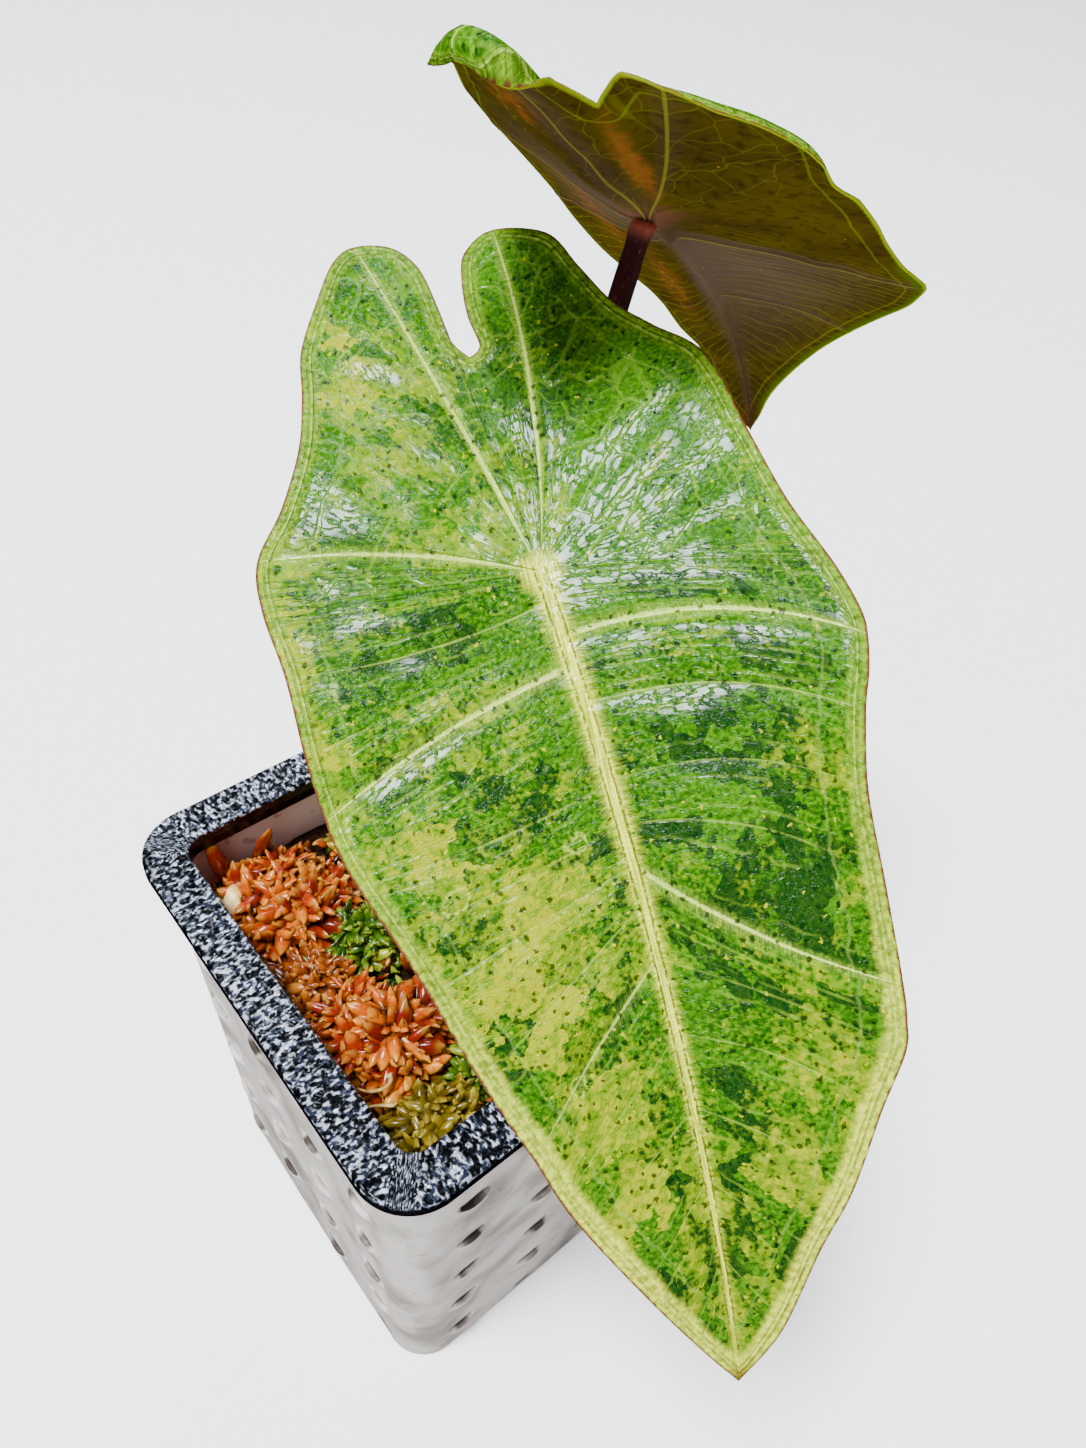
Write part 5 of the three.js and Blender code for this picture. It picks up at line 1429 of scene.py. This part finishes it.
def moss_core(x, y, radius, high):
    """A dome inside the head, dark with painted shade, which closes it between its leaflets."""
    lean, turn = np.meshgrid(np.linspace(0, np.pi / 2, 8),
                             np.linspace(0, 2 * np.pi, 25)[:-1], indexing="ij")
    points = np.stack([x + 0.58 * radius * np.sin(lean) * np.cos(turn),
                       y + 0.58 * radius * np.sin(lean) * np.sin(turn),
                       MOSS_FLOOR + 0.50 * high * np.cos(lean)], -1)
    return points, grid(8, 24, wrap=True)


# each is (the painted shade at the leaflets' feet, deep, mid, warm, pale), and pale is also the
# painted light at their tips
MOSS_COLORS = {
    "orange": ((16, 3, 1), (92, 13, 1), (142, 38, 1), (190, 88, 1), (230, 172, 56)),
    "green": ((5, 13, 2), (18, 44, 2), (42, 78, 3), (78, 108, 6), (160, 170, 40)),
    "olive": ((18, 14, 2), (60, 48, 3), (104, 86, 6), (134, 112, 12), (190, 170, 60)),
    "brown": ((20, 7, 1), (84, 28, 2), (130, 56, 4), (156, 82, 12), (200, 140, 60))}


def wet_leaflets(colors):
    """Wet moss: each leaflet has its own tone, its foot is darkened with painted shade and its tip
    is lightened with painted light.
    """
    dark, deep, mid, warm, pale = (linear(*color) for color in colors)

    def paint(v):
        tone, up = v.map("tone")
        stops = [(0.0, deep), (0.40, mid), (0.82, warm), (1.0, pale)]
        ramp = v.node("ShaderNodeValToRGB", {"stops": stops}, {"Fac": tone})
        streak = v.noise(v.place(), 900.0, 3.0)
        color = (streak.step(0.42, 0.66) * 0.5).choose(ramp, deep)
        # painted shade darkens each leaflet's foot, and painted light lightens its tip
        color = up.step(0.80, 0.15).choose(color, dark)
        color = (up.step(0.75, 1.0) * 0.3).choose(color, pale)
        return {"Base Color": color, "Roughness": 0.14 + 0.14 * streak,
                "Normal": v.bump(0.4, 0.0003, streak), "Coat Weight": 0.7,
                "Coat Roughness": 0.03, "Subsurface Weight": 0.15, "Subsurface Scale": 0.002}
    return paint


moss_finishes = {tone: finish(f"wet_{tone}_moss", wet_leaflets(colors))
                 for tone, colors in MOSS_COLORS.items()}
for number, (name, tone, x, y, radius, high) in enumerate(HEADS):
    points, quads, tones = moss_head(x, y, radius, high, FIRST_HEAD_SEED + number)
    core, core_quads = moss_core(x, y, radius, high)
    quads = np.concatenate([quads, core_quads + len(points)])
    tones = np.concatenate([tones, np.tile(SHADED_CORE_TONE, (core.size // 3, 1))])
    head = surface(name + "_head", np.concatenate([points, core.reshape(-1, 3)]), quads,
                   [moss_finishes[tone]], {"tone": tones})
    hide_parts(name)
    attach(head, "root")


# ---- Loose moss --------------------------------------------------------------------
# Between the heads lie single leaflets and bits of old moss, with pale rootlets in the
# front corner. Three tall leaflets and a cream bulb stand in the left corner.

LOOSE_REACH = 37.4


def loose_leaflets(count, seed):
    """Leaflets at random over the substrate, each lying in a random direction and rising
    a little from root to tip. Those over the stem or past the wall are left out."""
    draw = np.random.default_rng(seed)
    place = draw.uniform(-LOOSE_REACH + 1, LOOSE_REACH - 1, (count, 2))
    turn = draw.uniform(0, 2 * np.pi, count)
    heading = np.stack([np.cos(turn), np.sin(turn), draw.uniform(0.05, 0.9, count)], -1)
    root = np.column_stack([place, MOSS_FLOOR - 0.6 + draw.uniform(0, 2.2, count)])
    length = draw.uniform(2.6, 5.4, count)
    tip = root + heading / np.linalg.norm(heading, axis=1, keepdims=True) * length[:, None]
    clear = np.minimum(np.hypot(*(place - STEM_CENTRE).T), np.hypot(*(tip[:, :2] - STEM_CENTRE).T))
    keep = (clear > STEM_RADIUS + 1.2) & (np.abs(tip[:, :2]).max(1) < LOOSE_REACH)
    back = np.array((0, 0, 1.0)) + draw.normal(0, 0.3, (count, 3))
    return leaflets(root[keep], heading[keep], back[keep], length[keep],
                    length[keep] * draw.uniform(0.30, 0.50, count)[keep],
                    draw.uniform(-0.2, 0.2, count)[keep], draw.uniform(0, 1, count)[keep])


for name, tone, count, seed in (("loose_green_moss", "green", 380, 71),
                                ("loose_brown_moss", "brown", 500, 72),
                                ("loose_orange_moss", "orange", 330, 73)):
    points, quads, tones = loose_leaflets(count, seed)
    litter = surface(name, points, quads, [moss_finishes[tone]], {"tone": tones})
    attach(litter, "root")

# each is (foot, way it grows, way its back faces, length, width, curl, tone)
TALL_LEAFLETS = (
    ((-30.5, 34.0, 93.5), (-0.12, 0.05, 1.0), (0.0, -1.0, 0.3), 14.0, 4.2, -0.28, 0.02),
    ((-24.0, 35.0, 93.5), (0.10, 0.04, 1.0), (0.2, -1.0, 0.2), 15.5, 4.8, 0.26, 0.36),
    ((-35.0, 20.0, 94.0), (-0.05, -0.1, 1.0), (1.0, 0.0, 0.2), 9.5, 3.4, -0.2, 0.4))
points, quads, tones = leaflets(*(np.array(column) for column in zip(*TALL_LEAFLETS)))
tall_leaflets = surface("tall_leaflets", points, quads, [moss_finishes["orange"]],
                        {"tone": tones})
rounder = tall_leaflets.modifiers.new("rounder", "SUBSURF")
rounder.levels = rounder.render_levels = 2
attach(tall_leaflets, "root")


def rootlets(ends, seed):
    """Thin pale strands. Each is a tube along a line between its ends that wanders by a
    sum of two sines, and is thinnest at its far end."""
    draw = np.random.default_rng(seed)
    strands = []
    for start, end, radius in ends:
        share = np.linspace(0, 1, 16)[:, None]
        line = np.array(start) * (1 - share) + np.array(end) * share
        sway = draw.normal(0, 1, (2, 3)) * (0.8, 0.8, 0.4)
        line = line + sway[0] * np.sin(np.pi * share) + sway[1] * np.sin(2 * np.pi * share) * 0.5
        strands.append(closed(tube(line, radius * (1.15 - 0.75 * share[:, 0]), 6)))
    return together(strands)


def pale_rootlet(v):
    patch = v.noise(v.place(), 500.0, 3.0)
    color = patch.step(0.35, 0.65).choose(linear(214, 196, 120), linear(150, 118, 50))
    return {"Base Color": color, "Roughness": 0.25 + 0.2 * patch,
            "Normal": v.bump(0.4, 0.0002, patch)}


# each is (where it starts, where it ends, its radius)
ROOTLETS = (
    ((-37.0, -1.0, 95.5), (-33.5, -7.5, 97.5), 0.55),
    ((-37.2, -4.5, 95.0), (-31.5, -3.0, 98.0), 0.45),
    ((-36.5, -9.0, 95.5), (-33.0, 1.0, 96.5), 0.40),
    ((-36.8, -27.0, 96.0), (-34.5, -36.0, 99.0), 0.55),
    ((-35.0, -36.5, 95.5), (-27.0, -35.0, 98.0), 0.60),
    ((-36.5, -33.0, 95.5), (-30.0, -36.5, 99.5), 0.40),
    ((-31.0, -24.0, 99.0), (-35.5, -21.5, 98.5), 0.40),
    ((-29.5, -20.0, 101.0), (-34.5, -18.0, 99.0), 0.45),
    ((-33.0, 29.5, 97.0), (-28.0, 24.0, 100.5), 0.60))
strands = surface("pale_rootlets", *rootlets(ROOTLETS, 90),
                  [finish("pale_rootlet", pale_rootlet)])
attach(strands, "root")


BULB_CENTRE, BULB_RADII = (-33.0, 27.5, 98.6), (3.0, 3.6, 3.8)


def bulb():
    """A cream bulb: an egg whose thick end is down, with shallow ribs from end to end."""
    up, turn = np.meshgrid(np.linspace(0, np.pi, 25), np.linspace(0, 2 * np.pi, 33)[:-1],
                           indexing="ij")
    girth = np.sin(up) * (1 + 0.22 * np.cos(up)) * (1 + 0.03 * np.cos(7 * turn))
    shape = np.stack([girth * np.cos(turn), girth * np.sin(turn), -np.cos(up)], -1)
    return np.array(BULB_CENTRE) + shape * BULB_RADII


def cream_bulb(v):
    patch = v.noise(v.place(), 260.0, 3.0)
    color = patch.step(0.4, 0.65).choose(linear(246, 226, 170), linear(206, 160, 70))
    return {"Base Color": color, "Roughness": 0.2 + 0.2 * patch,
            "Normal": v.bump(0.3, 0.0003, patch)}


egg = bulb()
cream = surface("cream_bulb", egg.reshape(-1, 3), grid(*egg.shape[:2], wrap=True),
                [finish("cream_bulb", cream_bulb)], merge=0.001)
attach(cream, "root")
